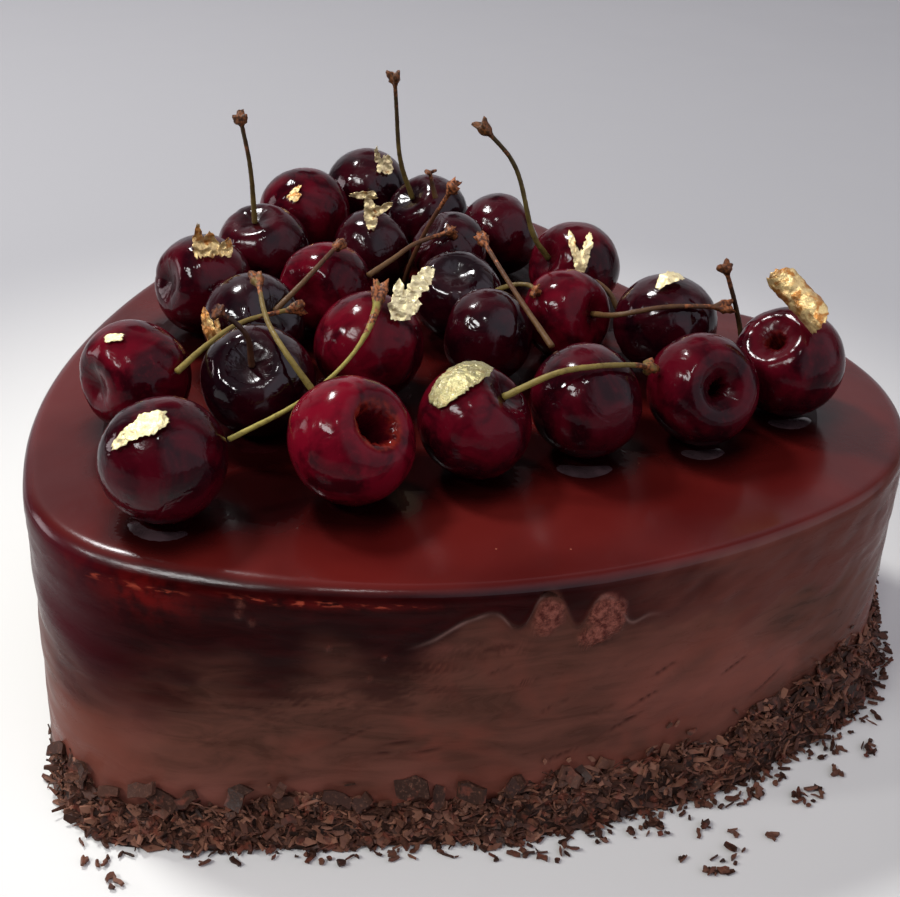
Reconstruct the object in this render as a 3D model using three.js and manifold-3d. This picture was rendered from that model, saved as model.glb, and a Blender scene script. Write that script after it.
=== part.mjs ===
// A heart-shaped black forest cake: a glazed body with a bank of chocolate shavings round its foot,
// two dozen fresh cherries on top, their stalks, and scraps of gold leaf.
// Millimetres, +Z up. The heart's tip points to -Y and its notch to +Y. The origin is under the middle.
import * as THREE from "three";
import Module from "manifold-3d";
import { mergeVertices } from "three/addons/utils/BufferGeometryUtils.js";

// ---- driving dimensions ------------------------------------------------------------------------

const HEIGHT = 65; // from the table to the flat top
const LOBE = { x: 47.5, y: 45, radius: 55.5 }; // the right lobe's circle; the left one mirrors it
const SIDE_RADIUS = 160; // the long bowed flank
const SIDE_JOINS_LOBE_AT = THREE.MathUtils.degToRad(-5); // where the flank leaves the lobe
const TIP_RADIUS = 39;
const NOTCH_RADIUS = 37;
const EDGE_RADIUS = 4; // the rounded upper edge of the glaze
const SAG = { out: 10, along: 19, spread: 28 }; // the foot swells beside the tip, on the right
const ARC_STEPS = { tip: 4, side: 10, lobe: 15, notch: 4 };

// The shavings heaped against the foot: the crest climbs from low to high over this stretch of the
// edge. The bank is thin round the bare place, left of the tip.
const BANK = { low: 10, high: 19, climbs: [60, 200], out: 4.8, bare: { run: -27, half: 22, most: 1.6 } };
const SHAVINGS = { count: 250, length: [3.2, 6.5], width: [1.8, 3.4], thick: [0.6, 1] };
const SHARDS = { count: 16, length: [7, 9.5], width: [3.5, 5.5], thick: [0.8, 1.1] }; // stand on the crest

const GAP = 0.3; // between pieces that touch
const CHERRY_SIDES = 12;
const CHERRY_RINGS = [0, 13, 27, 48, 75, 103, 131, 157, 180]; // degrees from the dimple
const DIMPLE_SPREAD = THREE.MathUtils.degToRad(24);

const STALK = { sides: 5, steps: 5, foot: 0.95, waist: 0.7, knob: 1.5, knobFrom: 0.9 };
const LEAF_THICKNESS = 0.4;
const LEAF_OFF_SKIN = 0.1;
const LEAF_WAVE = 0.25;
const LEAF_CELLS = { across: 3, along: 6 };

const GLAZE = { color: 0x5a2226, roughness: 0.15, metalness: 0 };
const CHERRY_SKIN = { color: 0x4a0a18, roughness: 0.18, metalness: 0 };
const STALK_SKIN = { color: 0x7b6a34, roughness: 0.6, metalness: 0 };
const GOLD = { color: 0xd9b45a, roughness: 0.3, metalness: 1 };

// Each cherry: where it stands, its radius, where its stalk dimple faces (compass angle from +X and
// height above the horizon, degrees) and how deep the dimple is. The order is the order of placing.
const CHERRIES = [
  { x: 12, y: -71, radius: 13.3, faces: [150, 10], dimple: 3 },
  { x: -23.5, y: -55.5, radius: 12.8, faces: [-88, 6], dimple: 3.4 },
  { x: -53.5, y: -17, radius: 12.9, faces: [-97, 17], dimple: 3.4 },
  { x: -62.5, y: 8, radius: 12.6, faces: [-76, 72], dimple: 3 },
  { x: -74.5, y: 31, radius: 12.9, faces: [160, 30], dimple: 3 },
  { x: -78, y: 57, radius: 12.4, faces: [100, 25], dimple: 3 },
  { x: -53.5, y: 59, radius: 11.7, faces: [-97, 49], dimple: 3 },
  { x: -46, y: 32, radius: 11, faces: [80, 30], dimple: 3 },
  { x: -32, y: 5.5, radius: 12.2, faces: [-67, 12], dimple: 3 },
  { x: -27.5, y: -20.5, radius: 12.6, faces: [12, 38], dimple: 3 },
  { x: -3.5, y: -36.5, radius: 12.9, faces: [-47, 52], dimple: 4 },
  { x: 0, y: -7.5, radius: 13.1, faces: [120, 15], dimple: 3 },
  { x: 31, y: -38, radius: 13.7, faces: [9, 42], dimple: 5.5 },
  { x: 40.5, y: -12, radius: 12.6, faces: [36, 49], dimple: 3 },
  { x: 50.5, y: 12, radius: 12.9, faces: [75, 5], dimple: 3 },
  { x: 64, y: 35.5, radius: 12.7, faces: [-21, 28], dimple: 6 },
  { x: 68.5, y: 61.5, radius: 13, faces: [-98, 51], dimple: 4.4 },
  { x: 37.5, y: 54.5, radius: 12.6, faces: [110, 20], dimple: 3 },
  { x: -0.5, y: 63, radius: 12.3, faces: [-106, 26], dimple: 3 },
  { x: -30.5, y: 65, radius: 11.4, faces: [60, 25], dimple: 3 },
  { x: -9.5, y: 29.5, radius: 11.6, faces: [-45, 65], dimple: 3.4 },
  { x: 12.5, y: 19, radius: 11.5, faces: [-150, 5], dimple: 3 },
  { x: 16.5, y: 42, radius: 11.4, faces: [8, 19], dimple: 3 },
  { x: -27, y: 43, radius: 10.4, faces: [-120, 45], dimple: 3 },
];

// Each stalk from its foot to its knob. A stalk with a cherry starts in that cherry's dimple.
const STALKS = [
  { cherry: 4, route: [[-60, 3.5, 102.5], [-60.7, 1.8, 116]] },
  { cherry: 7, route: [[-54.5, 49.5, 94.5], [-55, 48.5, 109], [-54.5, 47.5, 119.5]] },
  { cherry: 19, route: [[-3.5, 50, 89], [-8.5, 47, 107], [-14, 40, 117.5]] },
  { route: [[14, -56.5, 78.5], [16, -39.5, 82], [13.5, -24, 86], [7.5, -12, 90], [3.5, -6.5, 95]] },
  { route: [[13.5, -33.5, 80.5], [6.5, -36, 89], [-3, -33.5, 92], [-16, -26.5, 96]] },
  { route: [[-10.5, -52.5, 83], [-15, -41.5, 84], [-17.5, -30.5, 85], [-15, -15, 85]] },
  { cherry: 10, route: [[-21, -9.5, 88], [-24, 0.5, 91], [-27.5, 6.5, 91]] },
  { cherry: 11, route: [[1.5, -42, 92.5], [0.5, -44, 96], [-2, -47, 99]] },
  { route: [[-35.5, 34.5, 69.5], [-29, 31.5, 79], [-23, 32, 90.5], [-15.5, 34, 103.5]] },
  { route: [[-21, 10, 83.5], [-21.5, 19, 85.5], [-23, 27, 86.5], [-20.5, 38.5, 88]] },
  { route: [[32, 20.5, 81], [14.5, 24.5, 88.5], [-2, 29.5, 95]] },
  { route: [[2.5, 28, 81], [7.5, 31, 84.5], [11.5, 33, 85.5], [15, 33, 85]] },
  { route: [[22, 55, 76], [18.5, 55, 79.5], [14, 53.5, 81.5], [9, 52, 78.5]] },
  { cherry: 23, route: [[36, 38, 85], [44, 46, 87.5], [52, 60, 86]] },
  { route: [[55, 64, 72], [52.5, 62, 84], [49, 59.5, 96]] },
  { cherry: 14, route: [[52, 0.5, 89.5], [56, 6.5, 90.5], [59, 15.5, 89], [58.5, 24.5, 85]] },
  { route: [[-45, 54, 85.5], [-46.5, 53, 93]] },
];

// Each scrap of gold leaf: the cherry that its root touches, where on it, which way it runs from
// there (compass angle and height above the horizon, degrees), its width and length, how far its
// middle is shifted sideways, how far it bends over towards the cherry along its length (degrees),
// and whether its sides wrap the skin. The last one is rolled up into a tube.
const LEAVES = [
  { cherry: 1, at: [-85, 36], along: [53, 45], size: [5, 12], bend: 48, wraps: true },
  { cherry: 2, at: [-86, 59], along: [41, 20], size: [2.4, 4.5], bend: 18, wraps: true },
  { cherry: 3, at: [-14, 53], along: [147, 66], size: [9.5, 8.5], bend: -35 },
  { cherry: 10, at: [-77, 4], along: [-175, 66], size: [7, 8], bend: 20 },
  { cherry: 5, at: [-58, 35], along: [83, 47], size: [4, 5.5], bend: 23, wraps: true },
  { cherry: 8, at: [-43, 50], along: [137, 67], size: [10.5, 10.5], bend: -30 },
  { cherry: 6, at: [-14, 40], along: [134, 69], size: [6.5, 8], bend: -30 },
  { cherry: 12, at: [1, 49], along: [80, 46], size: [6.5, 15], bend: 35 },
  { cherry: 14, at: [-96, 35], along: [87, 55], size: [9.6, 16], bend: 70, wraps: true },
  { cherry: 19, at: [-44, 16], along: [120, 74], size: [7.5, 11.5], bend: 45 },
  { cherry: 18, at: [-81, 64], along: [58, 60], size: [5, 8], bend: 100 },
  { cherry: 17, at: [-17, 58], along: [-92, -9], size: [18, 11.3], aside: 7.5, bend: -300 },
];

// ---- small helpers -----------------------------------------------------------------------------

const wasm = await Module();
wasm.setup();

// A repeatable stream of numbers between 0 and 1.
function seeded(seed) {
  let state = seed;
  return () => {
    state = (state * 1664525 + 1013904223) % 4294967296;
    return state / 4294967296;
  };
}

const between = ([low, high], share) => low + (high - low) * share;

// The unit vector at a compass angle from +X and a height above the horizon, both in degrees.
function bearing([compass, height]) {
  const [turn, rise] = [compass, height].map(THREE.MathUtils.degToRad);
  const flat = Math.cos(rise);
  return new THREE.Vector3(flat * Math.cos(turn), flat * Math.sin(turn), Math.sin(rise));
}

function geometryOf(points, triangles) {
  const geometry = new THREE.BufferGeometry().setFromPoints(points);
  geometry.setIndex(triangles.flat());
  geometry.computeVertexNormals();
  return geometry;
}

// A closed skin over rings of equal length, listed from one end to the other, each ring
// anticlockwise when it is seen from the far end.
function loft(rings, firstMiddle, lastMiddle) {
  const count = rings[0].length;
  const triangles = [];
  rings.slice(1).forEach((ring, i) => {
    for (let j = 0; j < count; j++) {
      const [a, b] = [i * count + j, i * count + ((j + 1) % count)];
      triangles.push([a, b, b + count], [a, b + count, a + count]);
    }
  });
  const last = (rings.length - 1) * count;
  const [low, high] = [rings.length * count, rings.length * count + 1];
  for (let j = 0; j < count; j++) {
    const next = (j + 1) % count;
    triangles.push([low, next, j], [high, last + j, last + next]);
  }
  return geometryOf([...rings.flat(), firstMiddle, lastMiddle], triangles);
}

function solidOf(geometry) {
  const bare = geometry.clone();
  bare.deleteAttribute("normal");
  bare.deleteAttribute("uv");
  const merged = mergeVertices(bare, 1e-4);
  return new wasm.Manifold(
    new wasm.Mesh({
      numProp: 3,
      vertProperties: merged.attributes.position.array,
      triVerts: new Uint32Array(merged.index.array),
    }),
  );
}

function geometryFrom(solid) {
  const { vertProperties, triVerts } = solid.getMesh();
  const geometry = new THREE.BufferGeometry();
  geometry.setAttribute("position", new THREE.BufferAttribute(vertProperties, 3));
  geometry.setIndex(new THREE.BufferAttribute(triVerts, 1));
  geometry.computeVertexNormals();
  return geometry;
}

function mesh(name, geometry, finish) {
  const made = new THREE.Mesh(geometry, new THREE.MeshStandardMaterial(finish));
  made.name = name;
  return made;
}

const numbered = (word, i) => `${word}_${String(i + 1).padStart(2, "0")}`;

// ---- the heart ---------------------------------------------------------------------------------

// The right half of the heart, tip to notch: points with their outward normals. The tip circle
// touches both flanks from inside, and the notch circle touches both lobes from outside.
function rightHalf() {
  const lobe = new THREE.Vector2(LOBE.x, LOBE.y);
  const reach = SIDE_RADIUS - LOBE.radius;
  const joining = new THREE.Vector2(Math.cos(SIDE_JOINS_LOBE_AT), Math.sin(SIDE_JOINS_LOBE_AT));
  const side = lobe.clone().addScaledVector(joining, -reach);
  const tip = new THREE.Vector2(0, side.y - Math.sqrt((SIDE_RADIUS - TIP_RADIUS) ** 2 - side.x ** 2));
  const notch = new THREE.Vector2(0, lobe.y + Math.sqrt((LOBE.radius + NOTCH_RADIUS) ** 2 - lobe.x ** 2));
  const sideStart = tip.clone().sub(side).angle();
  const lobeEnd = notch.clone().sub(lobe).angle();
  const turn = 2 * Math.PI;
  const sideEnd = turn + SIDE_JOINS_LOBE_AT;
  const arcs = [
    { centre: tip, radius: TIP_RADIUS, ends: [0.75 * turn, sideStart], steps: ARC_STEPS.tip },
    { centre: side, radius: SIDE_RADIUS, ends: [sideStart, sideEnd], steps: ARC_STEPS.side },
    { centre: lobe, radius: LOBE.radius, ends: [SIDE_JOINS_LOBE_AT, lobeEnd], steps: ARC_STEPS.lobe },
    { centre: notch, radius: -NOTCH_RADIUS, ends: [lobeEnd, turn / 4], steps: ARC_STEPS.notch },
  ];
  const outline = [];
  arcs.forEach(({ centre, radius, ends, steps }, k) => {
    for (let i = k ? 1 : 0; i <= steps; i++) {
      const angle = between(ends, i / steps);
      const normal = new THREE.Vector2(Math.cos(angle), Math.sin(angle));
      outline.push({ point: centre.clone().addScaledVector(normal, radius), normal });
    }
  });
  return outline;
}

// The whole outline, anticlockwise from the tip, each point with its run along the edge from the
// tip: positive on the right flank and negative on the left one.
function heart() {
  const right = rightHalf();
  let run = 0;
  right.forEach((at, i) => {
    if (i) run += at.point.distanceTo(right[i - 1].point);
    at.run = run;
  });
  const mirrored = ({ point, normal, run: along }) => ({
    point: new THREE.Vector2(-point.x, point.y),
    normal: new THREE.Vector2(-normal.x, normal.y),
    run: -along,
  });
  return [...right, ...right.slice(1, -1).reverse().map(mirrored)];
}

const OUTLINE = heart();

// How far the wall stands out of the outline at a height: it swells towards the foot by the tip.
const swell = (run, z) =>
  SAG.out * Math.exp(-(((run - SAG.along) / SAG.spread) ** 2)) * Math.max(0, 1 - z / HEIGHT);

// The bank's reach out of the wall and the height of its crest wander along the edge.
function bankOut(run) {
  const wander = 1 + 0.14 * Math.sin(run / 7.3) + 0.1 * Math.sin(run / 3.1 + 1.7);
  return BANK.out * wander * (1 - 0.85 * Math.exp(-(((run - BANK.bare.run) / BANK.bare.half) ** 4)));
}

function bankTop(run) {
  const wander = 1 + 0.14 * Math.sin(run / 9.7 + 2) + 0.1 * Math.sin(run / 4.1);
  return wander * between([BANK.low, BANK.high], THREE.MathUtils.smoothstep(Math.abs(run), ...BANK.climbs));
}

function ringAt(height, out) {
  return OUTLINE.map(({ point, normal, run }) => {
    const z = height(run);
    const away = out(run) + swell(run, z);
    return new THREE.Vector3(point.x + normal.x * away, point.y + normal.y * away, z);
  });
}

// ---- the cake ----------------------------------------------------------------------------------

// The glazed body with the bank of shavings at its foot and the rounded upper edge.
function body() {
  const bank = [
    [0, 1],
    [0.35, 0.92],
    [0.7, 0.5],
    [1, 0.05],
  ];
  const rings = bank.map(([up, out]) => ringAt((run) => bankTop(run) * up, (run) => bankOut(run) * out));
  rings.push(ringAt(() => (HEIGHT + BANK.high) / 2, () => 0));
  for (const angle of [0, 30, 60, 90].map(THREE.MathUtils.degToRad)) {
    const inset = EDGE_RADIUS * (1 - Math.cos(angle));
    const z = HEIGHT - EDGE_RADIUS * (1 - Math.sin(angle));
    rings.push(ringAt(() => z, () => -inset));
  }
  return loft(rings, new THREE.Vector3(0, 0, 0), new THREE.Vector3(0, 0, HEIGHT));
}

// The outline's point, normal and run at a share of the way round.
function alongOutline(share) {
  const place = share * OUTLINE.length;
  const [here, next] = [Math.floor(place) % OUTLINE.length, Math.ceil(place) % OUTLINE.length];
  const part = place - Math.floor(place);
  return {
    point: OUTLINE[here].point.clone().lerp(OUTLINE[next].point, part),
    normal: OUTLINE[here].normal.clone().lerp(OUTLINE[next].normal, part).normalize(),
    run: OUTLINE[here].run,
  };
}

// A flat chip of chocolate about the origin, with three or four uneven corners.
function chip(draw, { length, width, thick }) {
  const [long, wide] = [between(length, draw()), between(width, draw())];
  const corners = [
    [-long / 2, -wide * draw() * 0.5],
    [long * draw() * 0.3, -wide / 2],
    [long / 2, wide * (draw() - 0.5) * 0.6],
    [-long * draw() * 0.4, wide / 2],
  ];
  const shape = new THREE.Shape(corners.slice(draw() < 0.5 ? 1 : 0).map((at) => new THREE.Vector2(...at)));
  const depth = between(thick, draw());
  return new THREE.ExtrudeGeometry(shape, { depth, bevelEnabled: false }).translate(0, 0, -depth / 2);
}

// A chip half sunk in the bank, at a share of the way round and of the way up. Most lie roughly
// along the slope. One that stands has its root in the crest.
function shaving(draw, kind, round, up, stands) {
  const { point, normal, run } = alongOutline(round);
  const z = Math.max(bankTop(run) * up, 0.8);
  const out = bankOut(run) * (1 - up) ** 0.7 + swell(run, z);
  const slope = stands ? 75 : 35 + 40 * up;
  const turn = new THREE.Matrix4()
    .makeRotationZ(Math.atan2(normal.y, normal.x) + (draw() - 0.5) * 0.9)
    .multiply(new THREE.Matrix4().makeRotationY(THREE.MathUtils.degToRad(slope + (draw() - 0.5) * 50)))
    .multiply(new THREE.Matrix4().makeRotationZ(draw() * Math.PI));
  return chip(draw, kind)
    .applyMatrix4(turn)
    .translate(point.x + normal.x * out, point.y + normal.y * out, z);
}

// The body and every shaving as one solid, cut off level with the table.
function cake() {
  const draw = seeded(7);
  const chips = [];
  for (let i = 0; i < SHAVINGS.count; i++) {
    const [round, up] = [(i + draw()) / SHAVINGS.count, draw() ** 1.1];
    const bare = bankOut(alongOutline(round).run) < BANK.bare.most;
    if (!bare) chips.push(shaving(draw, SHAVINGS, round, up, false));
  }
  for (let i = 0; i < SHARDS.count; i++) {
    chips.push(shaving(draw, SHARDS, (i + draw()) / SHARDS.count, 1, true));
  }
  const whole = chips.reduce((sum, piece) => sum.add(solidOf(piece)), solidOf(body()));
  const above = new THREE.BoxGeometry(4 * HEIGHT, 4 * HEIGHT, 2 * HEIGHT).translate(0, 0, HEIGHT);
  const pieces = whole.intersect(solidOf(above)).decompose();
  const largest = pieces.reduce((a, b) => (b.volume() > a.volume() ? b : a));
  return mesh("cake", geometryFrom(largest), GLAZE);
}

// ---- cherries ----------------------------------------------------------------------------------

// A cherry about its own axis, dimple up: wide at the shoulders, a little narrower below.
function cherryGeometry({ radius, dimple }) {
  const profile = CHERRY_RINGS.map(THREE.MathUtils.degToRad).map((angle) => {
    const reach = radius * (0.95 + 0.05 * Math.sin(angle) - 0.015 * (1 - Math.cos(angle)));
    const hollow = dimple * Math.exp(-((angle / DIMPLE_SPREAD) ** 2));
    const across = Math.abs(reach * Math.sin(angle));
    return new THREE.Vector2(across < 1e-6 ? 0 : across, reach * Math.cos(angle) - hollow);
  });
  return new THREE.LatheGeometry(profile.reverse(), CHERRY_SIDES);
}

// Puts each cherry down in turn, at the lowest height where it is clear of those already there: on
// the cake's top, or in the hollow between its neighbours.
function cherries() {
  const placed = [];
  return CHERRIES.map((spec, i) => {
    const fruit = mesh(numbered("cherry", i), cherryGeometry(spec), CHERRY_SKIN);
    fruit.quaternion.setFromUnitVectors(new THREE.Vector3(0, 1, 0), bearing(spec.faces));
    fruit.updateMatrixWorld(true);
    const onTop = HEIGHT + GAP - new THREE.Box3().setFromObject(fruit, true).min.z;
    const neighbours = placed.map((other) => {
      const reach = spec.radius + other.radius + GAP;
      const apart = Math.hypot(spec.x - other.x, spec.y - other.y);
      return { z: other.z, rise: Math.sqrt(Math.max(0, reach ** 2 - apart ** 2)) };
    });
    const heights = [onTop, ...neighbours.map(({ z, rise }) => z + rise)].sort((a, b) => a - b);
    const clearAt = (height) => neighbours.every(({ z, rise }) => Math.abs(height - z) > rise - 1e-6);
    const z = heights.find((height) => height >= onTop && clearAt(height));
    placed.push({ ...spec, z });
    fruit.position.set(spec.x, spec.y, z);
    fruit.updateMatrixWorld(true);
    return fruit;
  });
}

// ---- stalks ------------------------------------------------------------------------------------

// The stalk's radius at a share of its length: a slim waist, and a knob at the far end.
function stalkRadius(share) {
  if (share > STALK.knobFrom) return STALK.knob;
  return STALK.waist + (STALK.foot - STALK.waist) * (1 - share / STALK.knobFrom) ** 2;
}

function stalk(name, { cherry, route }, fruits) {
  const points = route.map((at) => new THREE.Vector3(...at));
  if (cherry) {
    const { position } = fruits[cherry - 1];
    const { faces, radius, dimple } = CHERRIES[cherry - 1];
    const seat = 0.92 * radius - dimple + STALK.foot + 1.6 * GAP;
    points.unshift(position.clone().addScaledVector(bearing(faces), seat));
  }
  const curve = new THREE.CatmullRomCurve3(points, false, "centripetal");
  const shares = [...Array(STALK.steps).keys()].map((i) => (STALK.knobFrom * i) / (STALK.steps - 1));
  shares.push(STALK.knobFrom + 0.03, 1);
  const frames = curve.computeFrenetFrames(100, false);
  const rings = shares.map((share) => {
    const middle = curve.getPointAt(share);
    const k = Math.round(share * 100);
    return [...Array(STALK.sides).keys()].map((j) => {
      const angle = (2 * Math.PI * j) / STALK.sides;
      return middle
        .clone()
        .addScaledVector(frames.normals[k], stalkRadius(share) * Math.cos(angle))
        .addScaledVector(frames.binormals[k], stalkRadius(share) * Math.sin(angle));
    });
  });
  return mesh(name, loft(rings, curve.getPointAt(0), curve.getPointAt(1)), STALK_SKIN);
}

// ---- gold leaf ---------------------------------------------------------------------------------

// A thin wavy sheet whose two faces are split into triangles alike. `middleAt` gives the middle
// surface at shares from -0.5 to 0.5 across and along, and `normal` is the way it faces.
function sheet(middleAt, normalAt) {
  const { across, along } = LEAF_CELLS;
  const columns = across + 1;
  const faces = [-0.5, 0.5].map((side) => {
    const points = [];
    for (let j = 0; j <= along; j++) {
      for (let i = 0; i <= across; i++) {
        const [u, v] = [i / across - 0.5, j / along - 0.5];
        points.push(middleAt(u, v).addScaledVector(normalAt(u, v), side * LEAF_THICKNESS));
      }
    }
    return points;
  });
  const upper = faces[0].length;
  const triangles = [];
  for (let j = 0; j < along; j++) {
    for (let i = 0; i < across; i++) {
      const [a, b] = [j * columns + i, j * columns + i + 1];
      const [c, d] = [a + columns, b + columns];
      triangles.push([a, d, b], [a, c, d]);
      triangles.push([upper + a, upper + b, upper + d], [upper + a, upper + d, upper + c]);
    }
  }
  const rim = [];
  for (let i = 0; i < across; i++) rim.push(i);
  for (let j = 0; j < along; j++) rim.push(j * columns + across);
  for (let i = across; i > 0; i--) rim.push(along * columns + i);
  for (let j = along; j > 0; j--) rim.push(j * columns);
  rim.forEach((a, k) => {
    const b = rim[(k + 1) % rim.length];
    triangles.push([a, b, upper + b], [a, upper + b, upper + a]);
  });
  return geometryOf(faces.flat(), triangles);
}

// A scrap whose middle line starts at the skin and bends at an even rate in the plane of its own
// direction and the skin's normal. Its edges are ragged.
function goldLeaf(name, { cherry, at, along, size, aside = 0, bend, wraps }, fruits, seed) {
  const draw = seeded(seed);
  const ragged = [...Array(LEAF_CELLS.along + 1)].map(() => 0.75 + 0.4 * draw());
  const [width, length] = size;
  const clear = CHERRIES[cherry - 1].radius + LEAF_OFF_SKIN + LEAF_THICKNESS;
  const root = fruits[cherry - 1].position.clone().addScaledVector(bearing(at), clear);
  const ahead = bearing(along);
  const across = new THREE.Vector3().crossVectors(ahead, bearing(at)).normalize();
  const face = new THREE.Vector3().crossVectors(across, ahead);
  const total = THREE.MathUtils.degToRad(bend);
  const facing = (u, v) => face.clone().applyAxisAngle(across, -total * (v + 0.5));

  const middle = (u, v) => {
    const turned = total * (v + 0.5);
    const reach = length / total;
    const side = aside + u * width * ragged[Math.round((v + 0.5) * LEAF_CELLS.along)];
    const wave = LEAF_WAVE * (1 + Math.sin(9 * u + seed) * Math.sin(7 * v + 2 * seed));
    const sag = wraps ? side ** 2 / (2 * clear) : 0;
    return root
      .clone()
      .addScaledVector(ahead, reach * Math.sin(turned))
      .addScaledVector(face, -reach * (1 - Math.cos(turned)))
      .addScaledVector(across, side)
      .addScaledVector(facing(u, v), wave - sag);
  };
  return mesh(name, sheet(middle, facing), GOLD);
}

// ---- the whole ---------------------------------------------------------------------------------

const group = new THREE.Group();
const fruits = cherries();
group.add(cake(), ...fruits);
STALKS.forEach((spec, i) => group.add(stalk(numbered("stalk", i), spec, fruits)));
LEAVES.forEach((spec, i) => group.add(goldLeaf(numbered("gold_leaf", i), spec, fruits, i + 1)));

export default group;
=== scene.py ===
"""The looks of a heart-shaped black forest cake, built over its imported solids.

The glazed body with its relief, the bank of chocolate shavings, the loose crumbs, two dozen
cherries, their stalks, the gold leaf and the juice on the glaze. Lengths are millimetres unless a
name says otherwise, and make() turns them into metres. The heart's tip points to -Y.
"""

from math import atan2, cos, pi, radians, sin, sqrt

import bpy
import numpy as np
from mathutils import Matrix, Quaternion, Vector, noise


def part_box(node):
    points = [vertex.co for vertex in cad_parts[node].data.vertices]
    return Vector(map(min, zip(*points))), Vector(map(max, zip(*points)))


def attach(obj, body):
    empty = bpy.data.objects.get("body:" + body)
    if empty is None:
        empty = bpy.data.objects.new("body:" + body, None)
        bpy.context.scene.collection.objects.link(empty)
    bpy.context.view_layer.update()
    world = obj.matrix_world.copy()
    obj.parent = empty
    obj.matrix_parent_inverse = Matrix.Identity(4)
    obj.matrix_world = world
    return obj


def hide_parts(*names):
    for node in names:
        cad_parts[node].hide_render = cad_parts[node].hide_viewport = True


MM = 0.001  # metres in a millimetre

# ---- the cake's driving dimensions -----------------------

HEIGHT = 65.0  # from the table to the flat top
LOBE = np.array([47.5, 45.0])  # the middle of the right lobe's circle
LOBE_RADIUS = 55.5
SIDE_RADIUS = 160.0
SIDE_JOINS_LOBE_AT = radians(-5)
TIP_RADIUS = 39.0
NOTCH_RADIUS = 37.0
EDGE_RADIUS = 3.0  # and this much more round the tip, where the rim is softest
SOFT_EDGE = {"more": 1.6, "along": 24.0, "spread": 34.0}
SAG = {"out": 10.0, "along": 19.0, "spread": 28.0}  # the foot swells beside the tip, on the right
BULGE = {"out": 1.2, "along": -45.0, "spread": 38.0}  # and the whole left flank a little

FRONT = (-45.0, 212.0)  # the runs of the outline that get the finest mesh
FINE_STEP = 0.56
COARSE_STEP = 2.0
# Rows of the mesh: how many below the dark band's edge, above it and round the rim, and how far off
# the edge those beside it lie.
ROWS = {"below": 60, "above": 20, "rim": 12}
EDGE_ROWS = (-0.8, -0.45, -0.15, 0.15, 0.45, 0.8, 1.2)

# The dark upper glaze ends at this height on the wall: (run from the tip, height). The edge is soft, but a
# thin crisp lip along the runs of LIP. Where it is soft, the dark band over the paler wall below is partly
# painted reflection.
BAND = [(-70, 42), (-40, 42), (-3, 37), (17, 36), (28, 38), (46, 41), (66, 48), (82, 53), (90, 58)]
BAND += [(95, 59), (100, 55), (103.5, 62), (107, 61), (111.5, 53), (115, 60), (119, 59), (122.5, 53)]
BAND += [(127, 54), (132, 53), (138, 53), (144, 50), (149, 48), (157, 48), (166, 47), (171, 46), (176, 43)]
BAND += [(183, 44), (194, 42), (204, 38), (222, 43), (245, 40)]
BAND_ELSEWHERE = 43.0
LIP = (84.0, 124.0)

# Places on the wall where the glaze is rubbed rough: (run, height, half run, half height).
RUBS = [(105.6, 57.4, 3.3, 4.6), (117.6, 55.6, 4.0, 5.6), (114.5, 50.6, 3.2, 2.2)]
# Dark red smears under them, and pale smears low on the wall: the same four numbers. The pale ones are partly
# painted reflection, most of all the tall one at the left edge and those near the foot.
DARK_SMEARS = [(117, 49.5, 4, 1.8), (94, 50, 8, 2.4), (80, 46, 9, 3), (76, 40, 12, 5)]
DARK_SMEARS += [(55, 37, 14, 6), (30, 40, 12, 6)]
PALE_SMEARS_AND_REFLECTIONS = [(22, 29, 7, 9), (80, 51, 9, 1.6), (-7, 33, 6, 24), (85, 12, 40, 9), (45, 12, 40, 7)]
PALE_SMEARS_AND_REFLECTIONS += [(8, 12, 14, 12), (150, 33, 42, 20)]
# Short dents in the wall: (run, height, length, rise along it).
DENTS = [(66, 28, 8, 0.5), (71, 23, 6, 0.05), (74.5, 26, 9, 0.1), (82, 24, 12, 0.15), (109, 34, 8, 0.3)]
DENTS += [(123, 25, 10, 0.35), (141, 13, 9, 0.4), (96, 45, 5, 0.2), (101, 41, 7, 0.1), (132, 38, 5, 0.2)]
DENTS += [(118, 30, 6, 0.25), (128, 31, 7, 0.3), (112, 20, 12, 0.25), (150, 33, 6, 0.3), (160, 24, 8, 0.5)]
# Where the dark glaze shines red with a painted glow, and its share, and where reddish flecks show under the
# rim.
PAINTED_GLOWS = [(0.8, 25, 58.5, 9, 4.2), (0.35, 12, 60, 14, 3), (0.5, 60, 61.4, 24, 0.9)]
FLECKS = [(20, 60.2, 16, 0.8), (62, 61.6, 22, 0.55)]
# Bubbles in the upper glaze: (run, height, radius).
BUBBLES = [(45, 60.2, 0.8), (44.5, 57.6, 0.7), (47, 56, 0.6), (62, 51, 0.5), (70, 43.5, 0.5), (73, 49, 0.4)]

# ---- shavings --------------------------------------------

# The bank's crest climbs from low to high over this stretch of the edge. It is thin round the bare
# place, left of the tip.
BANK = {"low": 10.0, "high": 19.0, "climbs": (60, 200), "out": 4.8, "bare": -24, "bare_half": 27}
BARE = 2.3  # no shavings where the bank reaches out less than this
FLAKES = {"count": 2300, "length": (2.0, 6.8), "width": (1.0, 3.4), "thick": (0.25, 0.6)}
SLIVERS = {"count": 1900, "length": (2.6, 7.4), "width": (0.35, 1.1), "thick": (0.2, 0.5)}
BITS = {"count": 1300, "length": (0.7, 1.9), "width": (0.5, 1.4), "thick": (0.3, 0.9)}
SHARDS = {"count": 34, "length": (5.0, 9.0), "width": (2.6, 4.8), "thick": (0.5, 0.9)}
HAND_PLACED = (-45, 105)  # between these runs FRONT_SHARDS stand in the crest, and none of SHARDS
STRAYS = {"count": 150, "length": (0.8, 3.2), "width": (0.5, 1.4), "thick": (0.2, 0.5)}
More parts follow.
